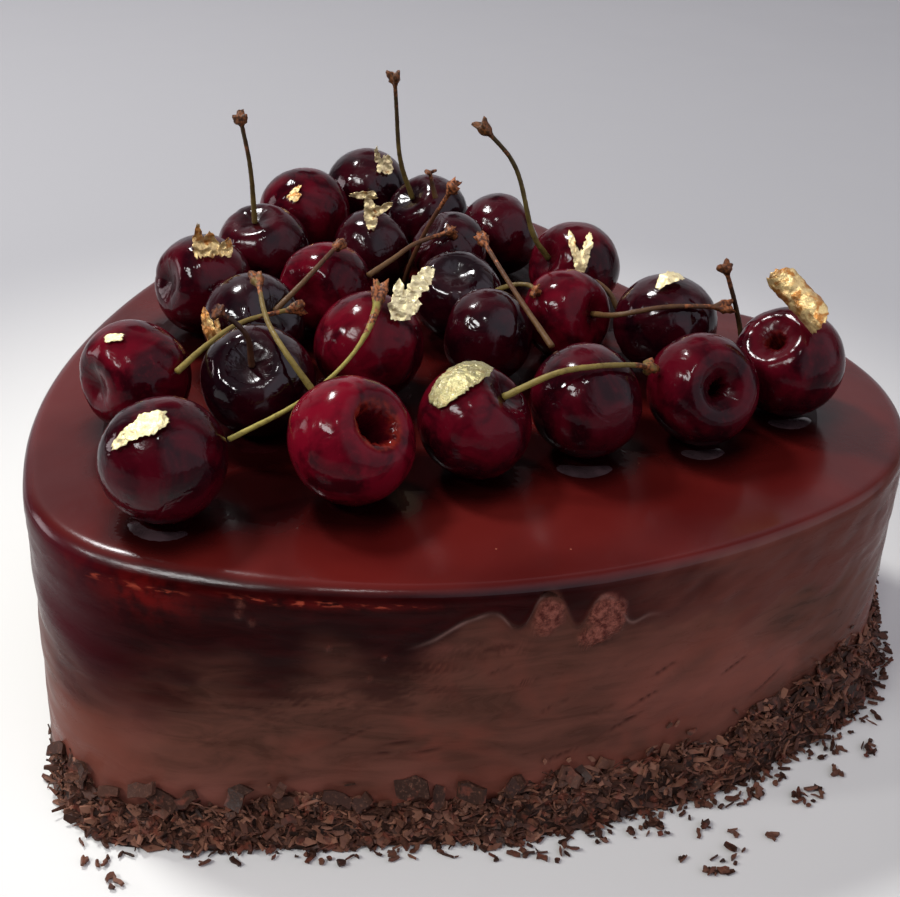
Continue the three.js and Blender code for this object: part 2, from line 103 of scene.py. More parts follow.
# The broad flakes that stand in the crest in front: (run, height, length, width, spin in degrees).
FRONT_SHARDS = [(24, 13, 6.5, 3.4, 15), (28, 11.5, 7, 3.6, -20), (33, 12, 5, 2.6, 35)]
FRONT_SHARDS += [(43, 12.6, 5.6, 4.4, 75), (51.5, 14.2, 3.8, 2.2, 60), (53, 11, 4.6, 2.8, 20)]
FRONT_SHARDS += [(63, 12, 6.4, 3, -12), (68, 11, 4.4, 3, 40), (78.5, 14.6, 7, 4.8, 8), (84, 12, 5, 3, 70)]
FRONT_SHARDS += [(91, 13.4, 6.2, 4.8, -8), (2, 11, 5, 2.8, 30), (11, 12.4, 5.6, 2.8, -25)]
FRONT_SHARDS += [(17, 11, 4.6, 2.4, 10), (100, 14, 4.6, 3, 30), (112, 14.5, 5, 3.4, -30)]

# Crumbs that lie loose beside the foot: (x, y, size).
CRUMBS = [(115, -8, 3), (118, 7, 2.4), (116, -4, 2.8), (107, 11, 3.4), (114, 22, 4.2), (115, 34, 2.4)]
CRUMBS += [(105, 70, 3), (92, -20, 4.6), (85, -35, 5), (28, -105, 3.4), (105, -3, 2.6), (100, -10, 3)]
CRUMBS += [(116, 25, 3), (115, 48, 2.6), (114, -10, 3.6), (117, 45, 2), (116, 20, 1.8), (88, -30, 5.4)]
CRUMBS += [(97, -14, 2.6), (34, -106, 1.8), (108, -12, 1.6), (111, 2, 1.4), (101, 4, 2), (112, 40, 2.2)]

# Those that lie along the foot: between which runs, and how far out of the bank.
FOOT_CRUMBS = {"count": 300, "runs": (2, 240), "out": 4.6}
CRUMB = {"length": (0.6, 3.2), "width": (0.4, 1.8), "thick": (0.25, 0.9)}
CRUMBS_END = 117  # none lies further right than this

# ---- cherries, stalks and gold leaf ----------------------

# (x, y, radius, compass angle and height of the dimple's direction in degrees, dimple depth, ripeness:
# 0 is crimson and 1 is nearly black)
CHERRIES = [
    (12, -71, 13.3, 150, 10, 3, 0.62),
    (-23.5, -55.5, 12.8, -88, 6, 3.4, 0.25),
    (-53.5, -17, 12.9, -97, 17, 3.4, 0.6),
    (-62.5, 8, 12.6, -76, 72, 3, 0.72),
    (-74.5, 31, 12.9, 160, 30, 3, 0.4),
    (-78, 57, 12.4, 100, 25, 3, 0.85),
    (-53.5, 59, 11.7, -97, 49, 3, 0.85),
    (-46, 32, 11, 80, 30, 3, 0.9),
    (-32, 5.5, 12.2, -67, 12, 3, 0.2),
    (-27.5, -20.5, 12.6, 12, 38, 3, 0.95),
    (-3.5, -36.5, 12.9, -47, 52, 4, 1.0),
    (0, -7.5, 13.1, 120, 15, 3, 0.3),
    (31, -38, 13.7, 9, 42, 5.5, 0.05),
    (40.5, -12, 12.6, 36, 49, 3, 0.4),
    (50.5, 12, 12.9, 75, 5, 3, 0.65),
    (64, 35.5, 12.7, -21, 28, 6, 0.55),
    (68.5, 61.5, 13, -98, 51, 4.4, 0.5),
    (37.5, 54.5, 12.6, 110, 20, 3, 0.9),
    (-0.5, 63, 12.3, -106, 26, 3, 0.45),
    (-30.5, 65, 11.4, 60, 25, 3, 0.8),
    (-9.5, 29.5, 11.6, -45, 65, 3.4, 0.95),
    (12.5, 19, 11.5, -150, 5, 3, 0.85),
    (16.5, 42, 11.4, 8, 19, 3, 0.3),
    (-27, 43, 10.4, -120, 45, 3, 0.85),
]
PITTED = {13: 3.0, 16: 1.5, 17: 1.6}  # cherries whose stone was pushed out, and the hole's radius
SHAFT_DEPTH = 7.5
# Their pulp: how much of it shows, and how deep in the hole it starts and ends.
PULPY = {13: (0.85, 0.06, 0.4), 17: (0.5, 0.35, 1.1)}
CHERRY_RINGS = 44
CHERRY_SIDES = 64
DIMPLE_SPREAD = radians(24)

STALK = {"foot": 0.78, "waist": 0.55, "knob": 1.35, "knob_from": 0.9, "seat": 1.43}
STALK_SIDES = 18
STALK_STEPS = 56
SLIM_STALK = (4, 0.78)  # the long green one is slimmer by this share, but thickens towards its knob
# (cherry whose dimple it starts in or 0, its points, how green it is, how dark it is)
STALKS = [
    (4, [(-60, 3.5, 102.5), (-60.7, 1.8, 116)], 0.35, 0.8),
    (7, [(-54.5, 49.5, 94.5), (-55, 48.5, 109), (-54.5, 47.5, 119.5)], 0.4, 0.85),
    (19, [(-3.5, 50, 89), (-8.5, 47, 107), (-14, 40, 117.5)], 0.5, 0.85),
    (0, [(14, -56.5, 78.5), (16, -39.5, 82), (13.5, -24, 86), (7.5, -12, 90), (3.5, -6.5, 95)], 1.0, 0.0),
    (0, [(13.5, -33.5, 80.5), (6.5, -36, 89), (-3, -33.5, 92), (-16, -26.5, 96)], 0.55, 0.1),
    (0, [(-10.5, -52.5, 83), (-15, -41.5, 84), (-17.5, -30.5, 85), (-15, -15, 85)], 0.6, 0.0),
    (10, [(-21, -9.5, 88), (-24, 0.5, 91), (-27.5, 6.5, 91)], 0.1, 0.3),
    (11, [(1.5, -42, 92.5), (0.5, -44, 96), (-2, -47, 99)], 0.0, 0.9),
    (0, [(-35.5, 34.5, 69.5), (-29, 31.5, 79), (-23, 32, 90.5), (-15.5, 34, 103.5)], 0.0, 0.0),
    (0, [(-21, 10, 83.5), (-21.5, 19, 85.5), (-23, 27, 86.5), (-20.5, 38.5, 88)], 0.1, 0.1),
    (0, [(32, 20.5, 81), (14.5, 24.5, 88.5), (-2, 29.5, 95)], 0.1, 0.1),
    (0, [(2.5, 28, 81), (7.5, 31, 84.5), (11.5, 33, 85.5), (15, 33, 85)], 0.5, 0.1),
    (0, [(22, 55, 76), (18.5, 55, 79.5), (14, 53.5, 81.5), (9, 52, 78.5)], 0.1, 0.2),
    (23, [(36, 38, 85), (44, 46, 87.5), (52, 60, 86)], 0.12, 0.25),
    (0, [(55, 64, 72), (52.5, 62, 84), (49, 59.5, 96)], 0.1, 0.85),
    (14, [(52, 0.5, 89.5), (56, 6.5, 90.5), (59, 15.5, 89), (58.5, 24.5, 85)], 0.62, 0.1),
    (0, [(-45, 54, 85.5), (-46.5, 53, 93)], 0.1, 0.6),
]

LEAF_THICKNESS = 0.4
LEAF_OFF_SKIN = 0.1
FOIL = {"thickness": 0.09, "over_last": 0.12, "mesh": 0.3}  # a scrap's strips lie one over another
# (cherry, place on it, direction it runs in, length, bend in degrees, wraps the skin, tone: 0 is cream
# and 1 is orange-brown, dullness, crumple)
LEAVES = [
    (1, (-85, 36), (53, 45), 12, 48, True, 0.0, 0.3, 0.3),
    (2, (-86, 59), (41, 20), 4.5, 18, True, 0.1, 0.3, 0.3),
    (3, (-14, 53), (147, 66), 8.5, -35, False, 0.6, 0.1, 0.8),
    (10, (-77, 4), (-175, 66), 8, 20, False, 0.75, 0.1, 0.7),
    (5, (-58, 35), (83, 47), 5.5, 23, True, 0.5, 0.1, 0.4),
    (8, (-43, 50), (137, 67), 10.5, -30, False, 0.35, 0.0, 0.8),
    (6, (-14, 40), (134, 69), 8, -30, False, 0.25, 0.0, 0.6),
    (12, (1, 49), (80, 46), 15, 35, False, 0.05, 0.1, 0.8),
    (14, (-96, 35), (87, 55), 16, 70, True, 0.05, 0.8, 0.25),
    (19, (-44, 16), (120, 74), 11.5, 45, False, 0.3, 0.1, 0.5),
    (18, (-81, 64), (58, 60), 8, 100, False, 0.15, 0.0, 0.5),
    (17, (-17, 58), (-92, -9), 13, -215, False, 0.6, 0.1, 0.45),
]
# What each scrap is torn into, strip by strip, on its own surface: across and along at the strip's
# start, the same at its end, and its width at both.
STRIPS = [
    [(0, 0, 0.2, 5, 2.2, 3.4), (0, 3.5, 0, 12, 4.4, 5.6)],
    [(0, 0, 0, 4.5, 2, 2.4)],
    [(-2.8, 0, -3.6, 8.8, 4.4, 1), (-0.2, 0, -0.8, 6.4, 5.8, 2.4), (2.6, 0, 4.2, 4.4, 4.6, 2)],
    [(-0.6, 0, -1.4, 8, 5, 2.6), (2.2, 0, 2.6, 6, 2.4, 1.6)],
    [(-0.6, 0, -0.4, 5.5, 2.4, 1.2), (1, 0.6, 1.5, 3.2, 1.8, 1)],
    [(0.5, 0, -0.6, 9, 4, 2.6), (-5, 9.4, 1.6, 9.2, 1.8, 2.8), (1, 4.6, 5.8, 7, 3.2, 1.2)],
    [(0.5, 0, 0.8, 5.4, 6, 3.2), (-1.5, 3, -2.9, 8.2, 2.6, 0.6)],
    [(0, 0, -0.2, 7.4, 5.4, 7.6), (-0.3, 5.4, 0.4, 15, 4.8, 4), (-2.6, 4.6, -4.2, 8.2, 2.6, 1.4)],
    [(0, 0, 0, 16, 8, 9.6)],
    [(0.6, 0, 0.3, 6.4, 2.4, 4.8), (-1.4, 5, -3, 11, 2.2, 1.2), (1.7, 5, 2.2, 11.5, 2.6, 1.4)],
    [(0, 0, 0, 8, 3.2, 4.4)],
    [(7, 0, 7, 13, 16, 16.5)],
]

# Juice on the glaze. Under the pile a dark film of it, partly painted shade, lies this many cherry radii out:
# the last row's is narrower.
UNDER_PILE = 0.8
OUTER_ROW = (1, 2, 5, 6, 13, 14, 15, 16, 17)
UNDER_OUTER = 0.5
# Clear crescents of it round the feet of some front cherries, their mauve-grey tint a painted reflection:
# (cherry, how far from its middle, the compass angles it runs between, half width).
POOLS = [(15, 8.8, -72, -10, 1.9), (16, 6.8, -66, -6, 1.8), (17, 7.0, -66, -2, 1.6), (1, 7.4, -105, -12, 1.5)]
# The top is painted dark round each cherry, for dark juice and painted shadow, shifted the way the shadows
# fall.
JUICE_AND_SHADOW = {"outer": (0.6, 1.25), "inner": (1.0, 1.5), "shift": (1.8, -1.0)}  # in radii, and millimetres
FRONT_ROW = (2, 1, 13, 14, 15, 16, 17)  # the gaps between these are painted dark too, as shadow
GAP = {"back": (-3.0, 3.0), "radius": 0.35}  # millimetres, and a share of how far apart they are
FILM_STEP = 0.75

# ---- the camera ------------------------------------------

CAMERA_PLACE = Vector((0.2232, -0.1907, 0.2279))  # metres
CAMERA_LOOKS = Vector((-0.7285, 0.685, 0))  # level part of its direction
CAMERA_PITCH = radians(31.62)  # down
CAMERA_ROLL = radians(1.2)
CAMERA_LENS = 55.66

# ---- the floor and the sky -------------------------------

FLOOR_HALF = 2500
FLOOR_GAP = 0.15  # below the foot, so that the two don't flicker
SKY_BASE = (0.05, 0.05, 0.056)
# Its pale areas: (direction, cosines where each starts and is full, colour).
SKY = [
    ((-0.72, 0.67, 0.3), (0.45, 0.93), (0.7, 0.67, 0.72)),
    ((0.3, -0.1, 0.95), (0.6, 0.95), (0.26, 0.25, 0.28)),
    ((0.92, 0.25, 0.5), (0.55, 0.8), (0.98, 0.94, 1.1)),
    ((-0.6, 0.54, 0.585), (0.962, 0.99), (0.08, 0.07, 0.075)),
]

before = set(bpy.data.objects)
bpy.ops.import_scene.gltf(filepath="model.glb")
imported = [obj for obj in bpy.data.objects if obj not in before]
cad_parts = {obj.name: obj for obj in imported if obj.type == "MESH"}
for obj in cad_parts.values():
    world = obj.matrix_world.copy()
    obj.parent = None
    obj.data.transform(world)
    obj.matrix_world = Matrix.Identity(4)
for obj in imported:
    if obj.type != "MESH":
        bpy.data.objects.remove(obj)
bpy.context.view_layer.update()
draw = np.random.default_rng(11)


# ---- small helpers ---------------------------------------


def unit(angle):
    return np.array([cos(angle), sin(angle)])


def bearing(compass, height):
    """The unit vector at a compass angle from +X and a height above the horizon, in degrees."""
    turn, rise = radians(compass), radians(height)
    return np.array([cos(rise) * cos(turn), cos(rise) * sin(turn), sin(rise)])


def smoothstep(low, high, value):
    share = np.clip((value - low) / (high - low), 0, 1)
    return share * share * (3 - 2 * share)


def bell(value, middle, half):
    """1 at the middle, and fading out on both sides."""
    return np.exp(-(((value - middle) / half) ** 2))


def through(points, at):
    """A smooth curve through (x, y) points, at these x."""
    xs, ys = np.array(points, float).T
    slopes = np.gradient(ys, xs)
    at = np.clip(at, xs[0], xs[-1])
    k = np.clip(np.searchsorted(xs, at, side="right") - 1, 0, len(xs) - 2)
    gap = xs[k + 1] - xs[k]
    t = (at - xs[k]) / gap
    keep, move = 2 * t**3 - 3 * t**2 + 1, t**3 - 2 * t**2 + t
    arrive = t**3 - t**2
    return keep * ys[k] + (1 - keep) * ys[k + 1] + gap * (move * slopes[k] + arrive * slopes[k + 1])


def points_at(x, y, z=0.0):
    return np.stack(np.broadcast_arrays(x, y, z), -1).astype(float)


def rough(points, size, seed=0.0):
    """Smooth noise from -1 to 1 with lumps of about this size, at each point of an array."""
    scaled = np.asarray(points, float) / size + seed
    return np.array([noise.noise(Vector(p)) for p in scaled.reshape(-1, 3)]).reshape(scaled.shape[:-1])


def between(low_high, share):
    return low_high[0] + (low_high[1] - low_high[0]) * share


def make(name, points, faces, materials, slot, picks=None, smooth=True, **values):
    """A mesh from points in millimetres. `picks` gives each face's material, and each of `values`
    becomes a named value at every point, for the materials."""
    data = bpy.data.meshes.new(name)
    data.from_pydata((np.asarray(points, float) * MM).tolist(), [], [tuple(map(int, f)) for f in faces])
    for material in materials:
        data.materials.append(material)
    data.polygons.foreach_set("use_smooth", [smooth] * len(data.polygons))
    if picks is not None:
        data.polygons.foreach_set("material_index", [int(p) for p in picks])
    for key, value in values.items():
        layer = data.attributes.new(key, "FLOAT", "POINT")
        layer.data.foreach_set("value", np.asarray(value, np.float32))
    data.update()
    made = bpy.data.objects.new(name, data)
    bpy.context.scene.collection.objects.link(made)
    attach(made, "root")
    return made


def grid_faces(rows, columns, closed):
    """Quads over rows of points, each row joined to the next, and closed round if asked."""
    ends = columns if closed else columns - 1
    j, i = np.meshgrid(np.arange(rows - 1), np.arange(ends), indexing="ij")
    a = j * columns + i
    b = j * columns + (i + 1) % columns
    return np.stack([a, b, b + columns, a + columns], -1).reshape(-1, 4)


def tube_faces(rows, columns):
    """Quads over closed rows of points, and a fan at each end round a point: these two come last."""
    low, last = rows * columns, (rows - 1) * columns
    turn = [(i, (i + 1) % columns) for i in range(columns)]
    fans = [(low, b, a) for a, b in turn] + [(low + 1, last + a, last + b) for a, b in turn]
    return [tuple(face) for face in grid_faces(rows, columns, True)] + fans


# ---- materials -------------------------------------------


class Nodes:
    """The shader nodes of a tree under construction."""

    def __init__(self, tree):
        self.tree = tree

    def node(self, kind, inputs=(), **settings):
        made = self.tree.nodes.new(kind)
        for key, value in settings.items():
            setattr(made, key, value)
        for key, value in dict(inputs).items():
            if isinstance(value, bpy.types.NodeSocket):
                self.tree.links.new(value, made.inputs[key])
            else:
                made.inputs[key].default_value = value
        return made

    def span(self, value, low, high, out_low=0.0, out_high=1.0):
        inputs = {"Value": value, "From Min": low, "From Max": high, "To Min": out_low, "To Max": out_high}
        return self.node("ShaderNodeMapRange", inputs, interpolation_type="SMOOTHSTEP").outputs["Result"]

    def mix(self, share, first, second):
        made = self.node("ShaderNodeMix", data_type="RGBA")
        for index, value in ((0, share), (6, first), (7, second)):
            if isinstance(value, bpy.types.NodeSocket):
                self.tree.links.new(value, made.inputs[index])
            else:
                made.inputs[index].default_value = value if index == 0 else (*value, 1)
        return made.outputs[2]

    def layers(self, colour, *over):
        """A colour with others laid over it: a share and a colour for each."""
        for share, tone in over:
            colour = self.mix(share, colour, tone)
        return colour


class Shade(Nodes):
    """A material under construction: its Principled shader and the nodes that feed it."""

    def __init__(self, name, **constants):
        self.material = bpy.data.materials.new(name)
        self.material.use_nodes = True
        super().__init__(self.material.node_tree)
        self.shader = self.tree.nodes["Principled BSDF"]
        for socket, value in constants.items():
            self.shader.inputs[socket.replace("_", " ")].default_value = value

    def place(self, size, stretch=(1, 1, 1)):
        """The place on the object, in lumps of this size. A stretch above 1 makes them longer."""
        where = self.node("ShaderNodeTexCoord").outputs["Object"]
        scale = [1 / (size * MM * part) for part in stretch]
        return self.node("ShaderNodeMapping", {"Vector": where, "Scale": scale}).outputs["Vector"]

    def noise(self, size, detail=3, stretch=(1, 1, 1), rough=0.5, warp=0):
        inputs = {"Vector": self.place(size, stretch), "Scale": 1, "Detail": detail}
        inputs |= {"Roughness": rough, "Distortion": warp}
        return self.node("ShaderNodeTexNoise", inputs).outputs["Fac"]

    def cells(self, size):
        inputs = {"Vector": self.place(size), "Scale": 1}
        return self.node("ShaderNodeTexVoronoi", inputs).outputs["Distance"]

    def value(self, name):
        return self.node("ShaderNodeAttribute", attribute_name=name).outputs["Fac"]

    def math(self, operation, first, second):
        return self.node("ShaderNodeMath", {0: first, 1: second}, operation=operation).outputs[0]

    def blend(self, share, first, second):
        return self.node("ShaderNodeMix", {0: share, 2: first, 3: second}, data_type="FLOAT").outputs[0]

    def bump(self, height, distance, strength=1.0, after=None):
        inputs = {"Height": height, "Distance": distance * MM, "Strength": strength}
        if after:
            inputs["Normal"] = after
        return self.node("ShaderNodeBump", inputs).outputs["Normal"]

    def feed(self, **sockets):
        for key, value in sockets.items():
            self.tree.links.new(value, self.shader.inputs[key.replace("_", " ")])
        return self.material


def glaze(name, level):
    """The glaze: wine red on the flat top, nearly black round the upper wall and a duller milk brown, drawn
    out in smears, below; where the band's edge is soft, its dark over the paler wall is partly painted
    reflection. Named values say where each one is, and some of them paint light: a highlight along the lip,
    shade under it, a red glow under the rim and shadow on the top."""
    shade = Shade(name, IOR=1.45, Specular_IOR_Level=level)
    smears = shade.noise(9, 5, (2.4, 2.4, 0.6), 0.62, 1.2)
    patches = shade.noise(26, 3, (1, 1, 0.8), warp=0.5)
    lower = shade.layers(
        (0.05, 0.019, 0.012),
        (shade.span(smears, 0.3, 0.7), (0.1, 0.036, 0.024)),
        (shade.span(patches, 0.47, 0.66, 0, 0.7), (0.14, 0.037, 0.024)),
        # Pale smears: partly painted reflection, low on the wall and along its left edge.
        (shade.value("pale"), (0.19, 0.064, 0.047)),
        # Dark: painted shade under the lip, with the dark smears and the dents.
        (shade.value("dark"), (0.022, 0.005, 0.0034)),
    )
    streaks = shade.noise(7, 4, (2.2, 2.2, 0.5), 0.6, 0.6)
    upper = shade.layers(
        (0.011, 0.0006, 0.0008),
        (shade.span(streaks, 0.35, 0.75), (0.024, 0.0018, 0.002)),
        (shade.value("warm"), (0.1, 0.029, 0.021)),
        (shade.value("wine"), (0.042, 0.0035, 0.0065)),
    )
    # A painted red glow under the rim, as if light shone through the thin glaze.
    glow = shade.math("MULTIPLY", shade.value("painted_glow"), shade.span(shade.noise(4.5, 3), 0.34, 0.62))
    crumb = shade.span(shade.noise(1.3, 5, rough=0.7), 0.3, 0.7)
    crust = shade.mix(crumb, (0.05, 0.008, 0.006), (0.26, 0.085, 0.06))
    speck = shade.span(shade.cells(5.5), 0.025, 0.045, 1, 0)
    sparse = shade.math("GREATER_THAN", shade.noise(14, 0), 0.52)
    top = shade.layers(
        (0.05, 0.0035, 0.003),
        (shade.span(shade.noise(34, 2), 0.35, 0.65), (0.081, 0.0068, 0.0054)),
        (shade.math("MULTIPLY", speck, sparse), (0.26, 0.08, 0.05)),
    )
    fleck = shade.span(shade.noise(1.9, 4, (1.6, 1.6, 0.5)), 0.5, 0.64)
    colour = shade.layers(
        lower,
        # The dark band: a thicker glaze along the lip, and partly painted reflection where its edge is soft.
        (shade.value("upper"), upper),
        # The painted highlight along the lip.
        (shade.value("lift"), (0.22, 0.12, 0.1)),
        (glow, (0.12, 0.0035, 0.003)),
        (shade.value("rub"), crust),
        (shade.value("top"), top),
        (shade.math("MULTIPLY", shade.value("fleck"), fleck), (0.27, 0.042, 0.022)),
        # Dark juice and painted shadow on the top.
        (shade.value("juice_and_shadow"), (0.006, 0.0005, 0.0007)),
    )
    gloss = shade.blend(shade.value("upper"), shade.span(smears, 0.3, 0.7, 0.24, 0.42),
                        shade.span(streaks, 0.3, 0.7, 0.22, 0.36))
    gloss = shade.blend(shade.value("sheen"), gloss, shade.span(shade.noise(18, 3), 0.3, 0.7, 0.16, 0.24))
    ripple = shade.bump(shade.noise(3, 4, (2.6, 2.6, 0.6), 0.6), 0.16, 0.5)
    grit = shade.math("MULTIPLY", shade.value("rub"), shade.noise(0.8, 4, rough=0.7))
    return shade.feed(Base_Color=colour, Roughness=gloss, Normal=shade.bump(grit, 0.7, 0.9, ripple))


def chocolate():
    """Dark chocolate: each shaving has its own shade, and its cut faces are streaked and matt."""
    shade = Shade("chocolate", IOR=1.45, Specular_IOR_Level=0.16)
    own = shade.value("shade")
    grain = shade.noise(0.7, 4, rough=0.65)
    warm = shade.math("MULTIPLY", shade.span(shade.noise(2.6, 2), 0.54, 0.7), 0.55)
    colour = shade.layers(
        (0.018, 0.0075, 0.0048),
        (shade.span(own, 0, 0.5), (0.082, 0.033, 0.021)),
        (shade.span(own, 0.5, 1), (0.22, 0.1, 0.062)),
        (shade.span(grain, 0.52, 0.75, 0, 0.5), (0.21, 0.092, 0.056)),
        (warm, (0.17, 0.045, 0.027)),
    )
    gloss = shade.span(grain, 0.3, 0.7, 0.36, 0.6)
    return shade.feed(Base_Color=colour, Roughness=gloss, Normal=shade.bump(grain, 0.12, 0.7))


def cherry_skin(step, ripeness):
    """Wet cherry skin: crimson through to nearly black, mottled, with finer streaks and pale dots, and
    painted shade deep in its hollows.
    """
    shade = Shade(f"cherry_skin_{step}", IOR=1.45, Specular_IOR_Level=0.14 + 0.3 * ripeness**4)
    red = np.array([0.108, 0.0014, 0.0064]) * (1 - ripeness) ** 1.25 + np.array([0.016, 0.0007, 0.0026])
    dark = 0.2 * red + np.array([0.0018, 0.0005, 0.0014])
    mottle = shade.noise(11, 3, rough=0.55, warp=0.7)
    torn = shade.span(shade.noise(2.2, 4), 0.35, 0.62)
    colour = shade.layers(
        dark,
        (shade.span(mottle, 0.36, 0.62), red),
        (shade.span(shade.noise(1.5, 3, rough=0.6), 0.5, 0.8, 0, 0.3), red * 1.4 + 0.002),
        (shade.span(shade.cells(1.5), 0.05, 0.13, 0.25, 0), red * 1.9 + 0.005),
        # Painted shade deep in the dimple and in the stone's hole.
        (shade.value("deep"), dark * 0.45),
        (shade.value("flesh"), shade.mix(torn, (0.035, 0.002, 0.0025), (0.15, 0.012, 0.006))),
    )
    gloss = shade.span(mottle, 0.3, 0.7, 0.06, 0.17)
    gloss = shade.blend(shade.value("deep"), gloss, 0.34)
    wrinkles = shade.bump(shade.noise(5.2, 3, rough=0.45, warp=0.8), 0.5, 0.4 + 0.25 * ripeness)
    pores = shade.bump(shade.noise(1.1, 3), 0.045, 0.4, wrinkles)
    return shade.feed(Base_Color=colour, Roughness=gloss, Normal=pores)


def stalk_skin(number, green, dark):
    """A stalk: green or brown at its foot, brown along its middle and orange-brown at its knob."""
    shade = Shade(f"stalk_skin_{number:02d}", IOR=1.45, Specular_IOR_Level=0.25)
    fresh = np.array([0.29, 0.24, 0.052])
    brown = np.array([0.08, 0.03, 0.014])
    foot = green * fresh + (1 - green) * brown * 1.05
    middle = (green**1.5) * fresh * 0.8 + (1 - green**1.5) * brown
    shadow = 1 - 0.85 * dark
    run = shade.value("along")
    wander = shade.math("ADD", run, shade.span(shade.noise(3, 3), 0.3, 0.7, -0.16, 0.16))
    fibres = shade.noise(1.1, 4, rough=0.65)
    knob = shade.mix(shade.span(shade.noise(0.8, 4), 0.4, 0.62), (0.055, 0.017, 0.008), (0.3, 0.1, 0.034))
    colour = shade.layers(
        foot * (1 - 0.3 * dark),
        (shade.span(wander, 0.1, 0.75), middle * shadow),
        (shade.span(fibres, 0.5, 0.75, 0, 0.55), brown * 0.45 * shadow),
        (shade.span(wander, 0.76, 0.86, 0, 1 - 0.6 * dark), knob),
    )
    return shade.feed(Base_Color=colour, Roughness=shade.span(fibres, 0.3, 0.7, 0.34, 0.6),
                      Normal=shade.bump(fibres, 0.18, 0.8))


def gold(number, tone, dullness):
    """Crumpled gold leaf: cream where it catches light, with orange-brown patches, painted shade in its folds
    and painted glints as pale specks.
    """
    shade = Shade(f"gold_{number:02d}", Metallic=0.65)
    pale = np.array([0.93, 0.84, 0.5]) * (1 - tone) + np.array([0.66, 0.4, 0.1]) * tone
    pale = pale * (1 - 0.8 * dullness) * (1, 1, 1 - 0.3 * dullness)
    warm = np.array([0.42, 0.175, 0.036])
    folds = shade.noise(1.5, 4, rough=0.6)
    grain = shade.noise(0.35, 3, rough=0.7)
    colour = shade.layers(
        pale,
        (shade.span(shade.noise(3.4, 3, warp=0.8), 0.74 - 0.48 * tone, 0.86 - 0.48 * tone), warm),
        # Painted shade in the folds.
        (shade.span(folds, 0.48, 0.7, 0, 0.7), 0.45 * pale + 0.35 * warm),
        # Painted glints: pale specks, more on duller leaf.
        (shade.span(grain, 0.58, 0.7, 0, 0.3 + 0.6 * dullness), (0.95, 0.93, 0.8)),
    )
    gloss = shade.span(grain, 0.3, 0.7, 0.26, 0.5)
    crinkle = shade.bump(grain, 0.1, 0.9, shade.bump(folds, 0.5, 0.8))
    return shade.feed(Base_Color=colour, Roughness=gloss, Normal=crinkle)


def juice(name, level, tint, gloss):
    """A thin film of cherry juice."""
    shade = Shade(name, IOR=1.45, Specular_IOR_Level=level)
    colour = shade.mix(shade.span(shade.noise(4, 2), 0.35, 0.65), 0.6 * np.array(tint), tint)
    gloss = shade.span(shade.noise(3, 2), 0.3, 0.7, 0.7 * gloss, 1.4 * gloss)
    return shade.feed(Base_Color=colour, Roughness=gloss)


def floor_with_painted_falloff():
    """A pale matt floor that gets a little greyer away from the cake, as painted falloff of the light round
    it.
    """
    shade = Shade("pale_floor_painted_falloff", Specular_IOR_Level=0.1)
    where = shade.node("ShaderNodeTexCoord").outputs["Object"]
    away = shade.node("ShaderNodeVectorMath", {0: where}, operation="LENGTH").outputs["Value"]
    tone = shade.mix(shade.span(away, 0.09, 0.27), (0.66, 0.66, 0.63), (0.33, 0.33, 0.335))
    return shade.feed(Base_Color=tone, Roughness=shade.span(shade.noise(90, 2), 0.3, 0.7, 0.5, 0.6))


# ---- the heart -------------------------------------------


def heart_arcs():
    """The right half of the outline, tip to notch: (middle, radius, first angle, last angle). The
    notch's circle lies outside the heart, so its radius is negative."""
    side = LOBE - (SIDE_RADIUS - LOBE_RADIUS) * unit(SIDE_JOINS_LOBE_AT)
    tip = np.array([0, side[1] - sqrt((SIDE_RADIUS - TIP_RADIUS) ** 2 - side[0] ** 2)])
    notch = np.array([0, LOBE[1] + sqrt((LOBE_RADIUS + NOTCH_RADIUS) ** 2 - LOBE[0] ** 2)])
    side_start = atan2(*(tip - side)[::-1])
    lobe_end = atan2(*(notch - LOBE)[::-1])
    return [
        (tip, TIP_RADIUS, -pi / 2, side_start),
        (side, SIDE_RADIUS, side_start, SIDE_JOINS_LOBE_AT),
        (LOBE, LOBE_RADIUS, SIDE_JOINS_LOBE_AT, lobe_end),
        (notch, -NOTCH_RADIUS, lobe_end, pi / 2),
    ]


ARCS = heart_arcs()
ARC_LENGTHS = [abs(radius * (last - first)) for _, radius, first, last in ARCS]
HALF = sum(ARC_LENGTHS)  # from the tip to the notch along one side


def edge(run):
    """The outline's points and outward normals at these runs from the tip: positive on the right
    flank and negative on the left one."""
    run = np.asarray(run, float)
    far, side = np.abs(run), np.where(run < 0, -1.0, 1.0)
    points, normals = np.zeros((*run.shape, 2)), np.zeros((*run.shape, 2))
    start = 0.0
    for (middle, radius, first, last), length in zip(ARCS, ARC_LENGTHS):
        here = far >= start - 1e-9
        angle = first + (last - first) * np.clip((far[here] - start) / length, 0, 1)
        normals[here] = np.stack([np.cos(angle), np.sin(angle)], -1)
        points[here] = middle + radius * normals[here]
        start += length
    points[..., 0] *= side
    normals[..., 0] *= side
    return points, normals


def swell(run, z):
    """How far the wall stands out of the outline: it swells towards the foot by the tip."""
    foot = SAG["out"] * bell(run, SAG["along"], SAG["spread"]) * np.clip(1 - z / HEIGHT, 0, 1)
    return foot + BULGE["out"] * bell(run, BULGE["along"], BULGE["spread"])


def wall(run, z, out=0.0):
    """Points on the wall at these runs and heights, standing this far out of it."""
    points, normals = edge(run)
    flat = points + normals * (out + swell(run, z))[..., None]
    return np.concatenate([flat, np.broadcast_to(z, run.shape)[..., None]], -1)


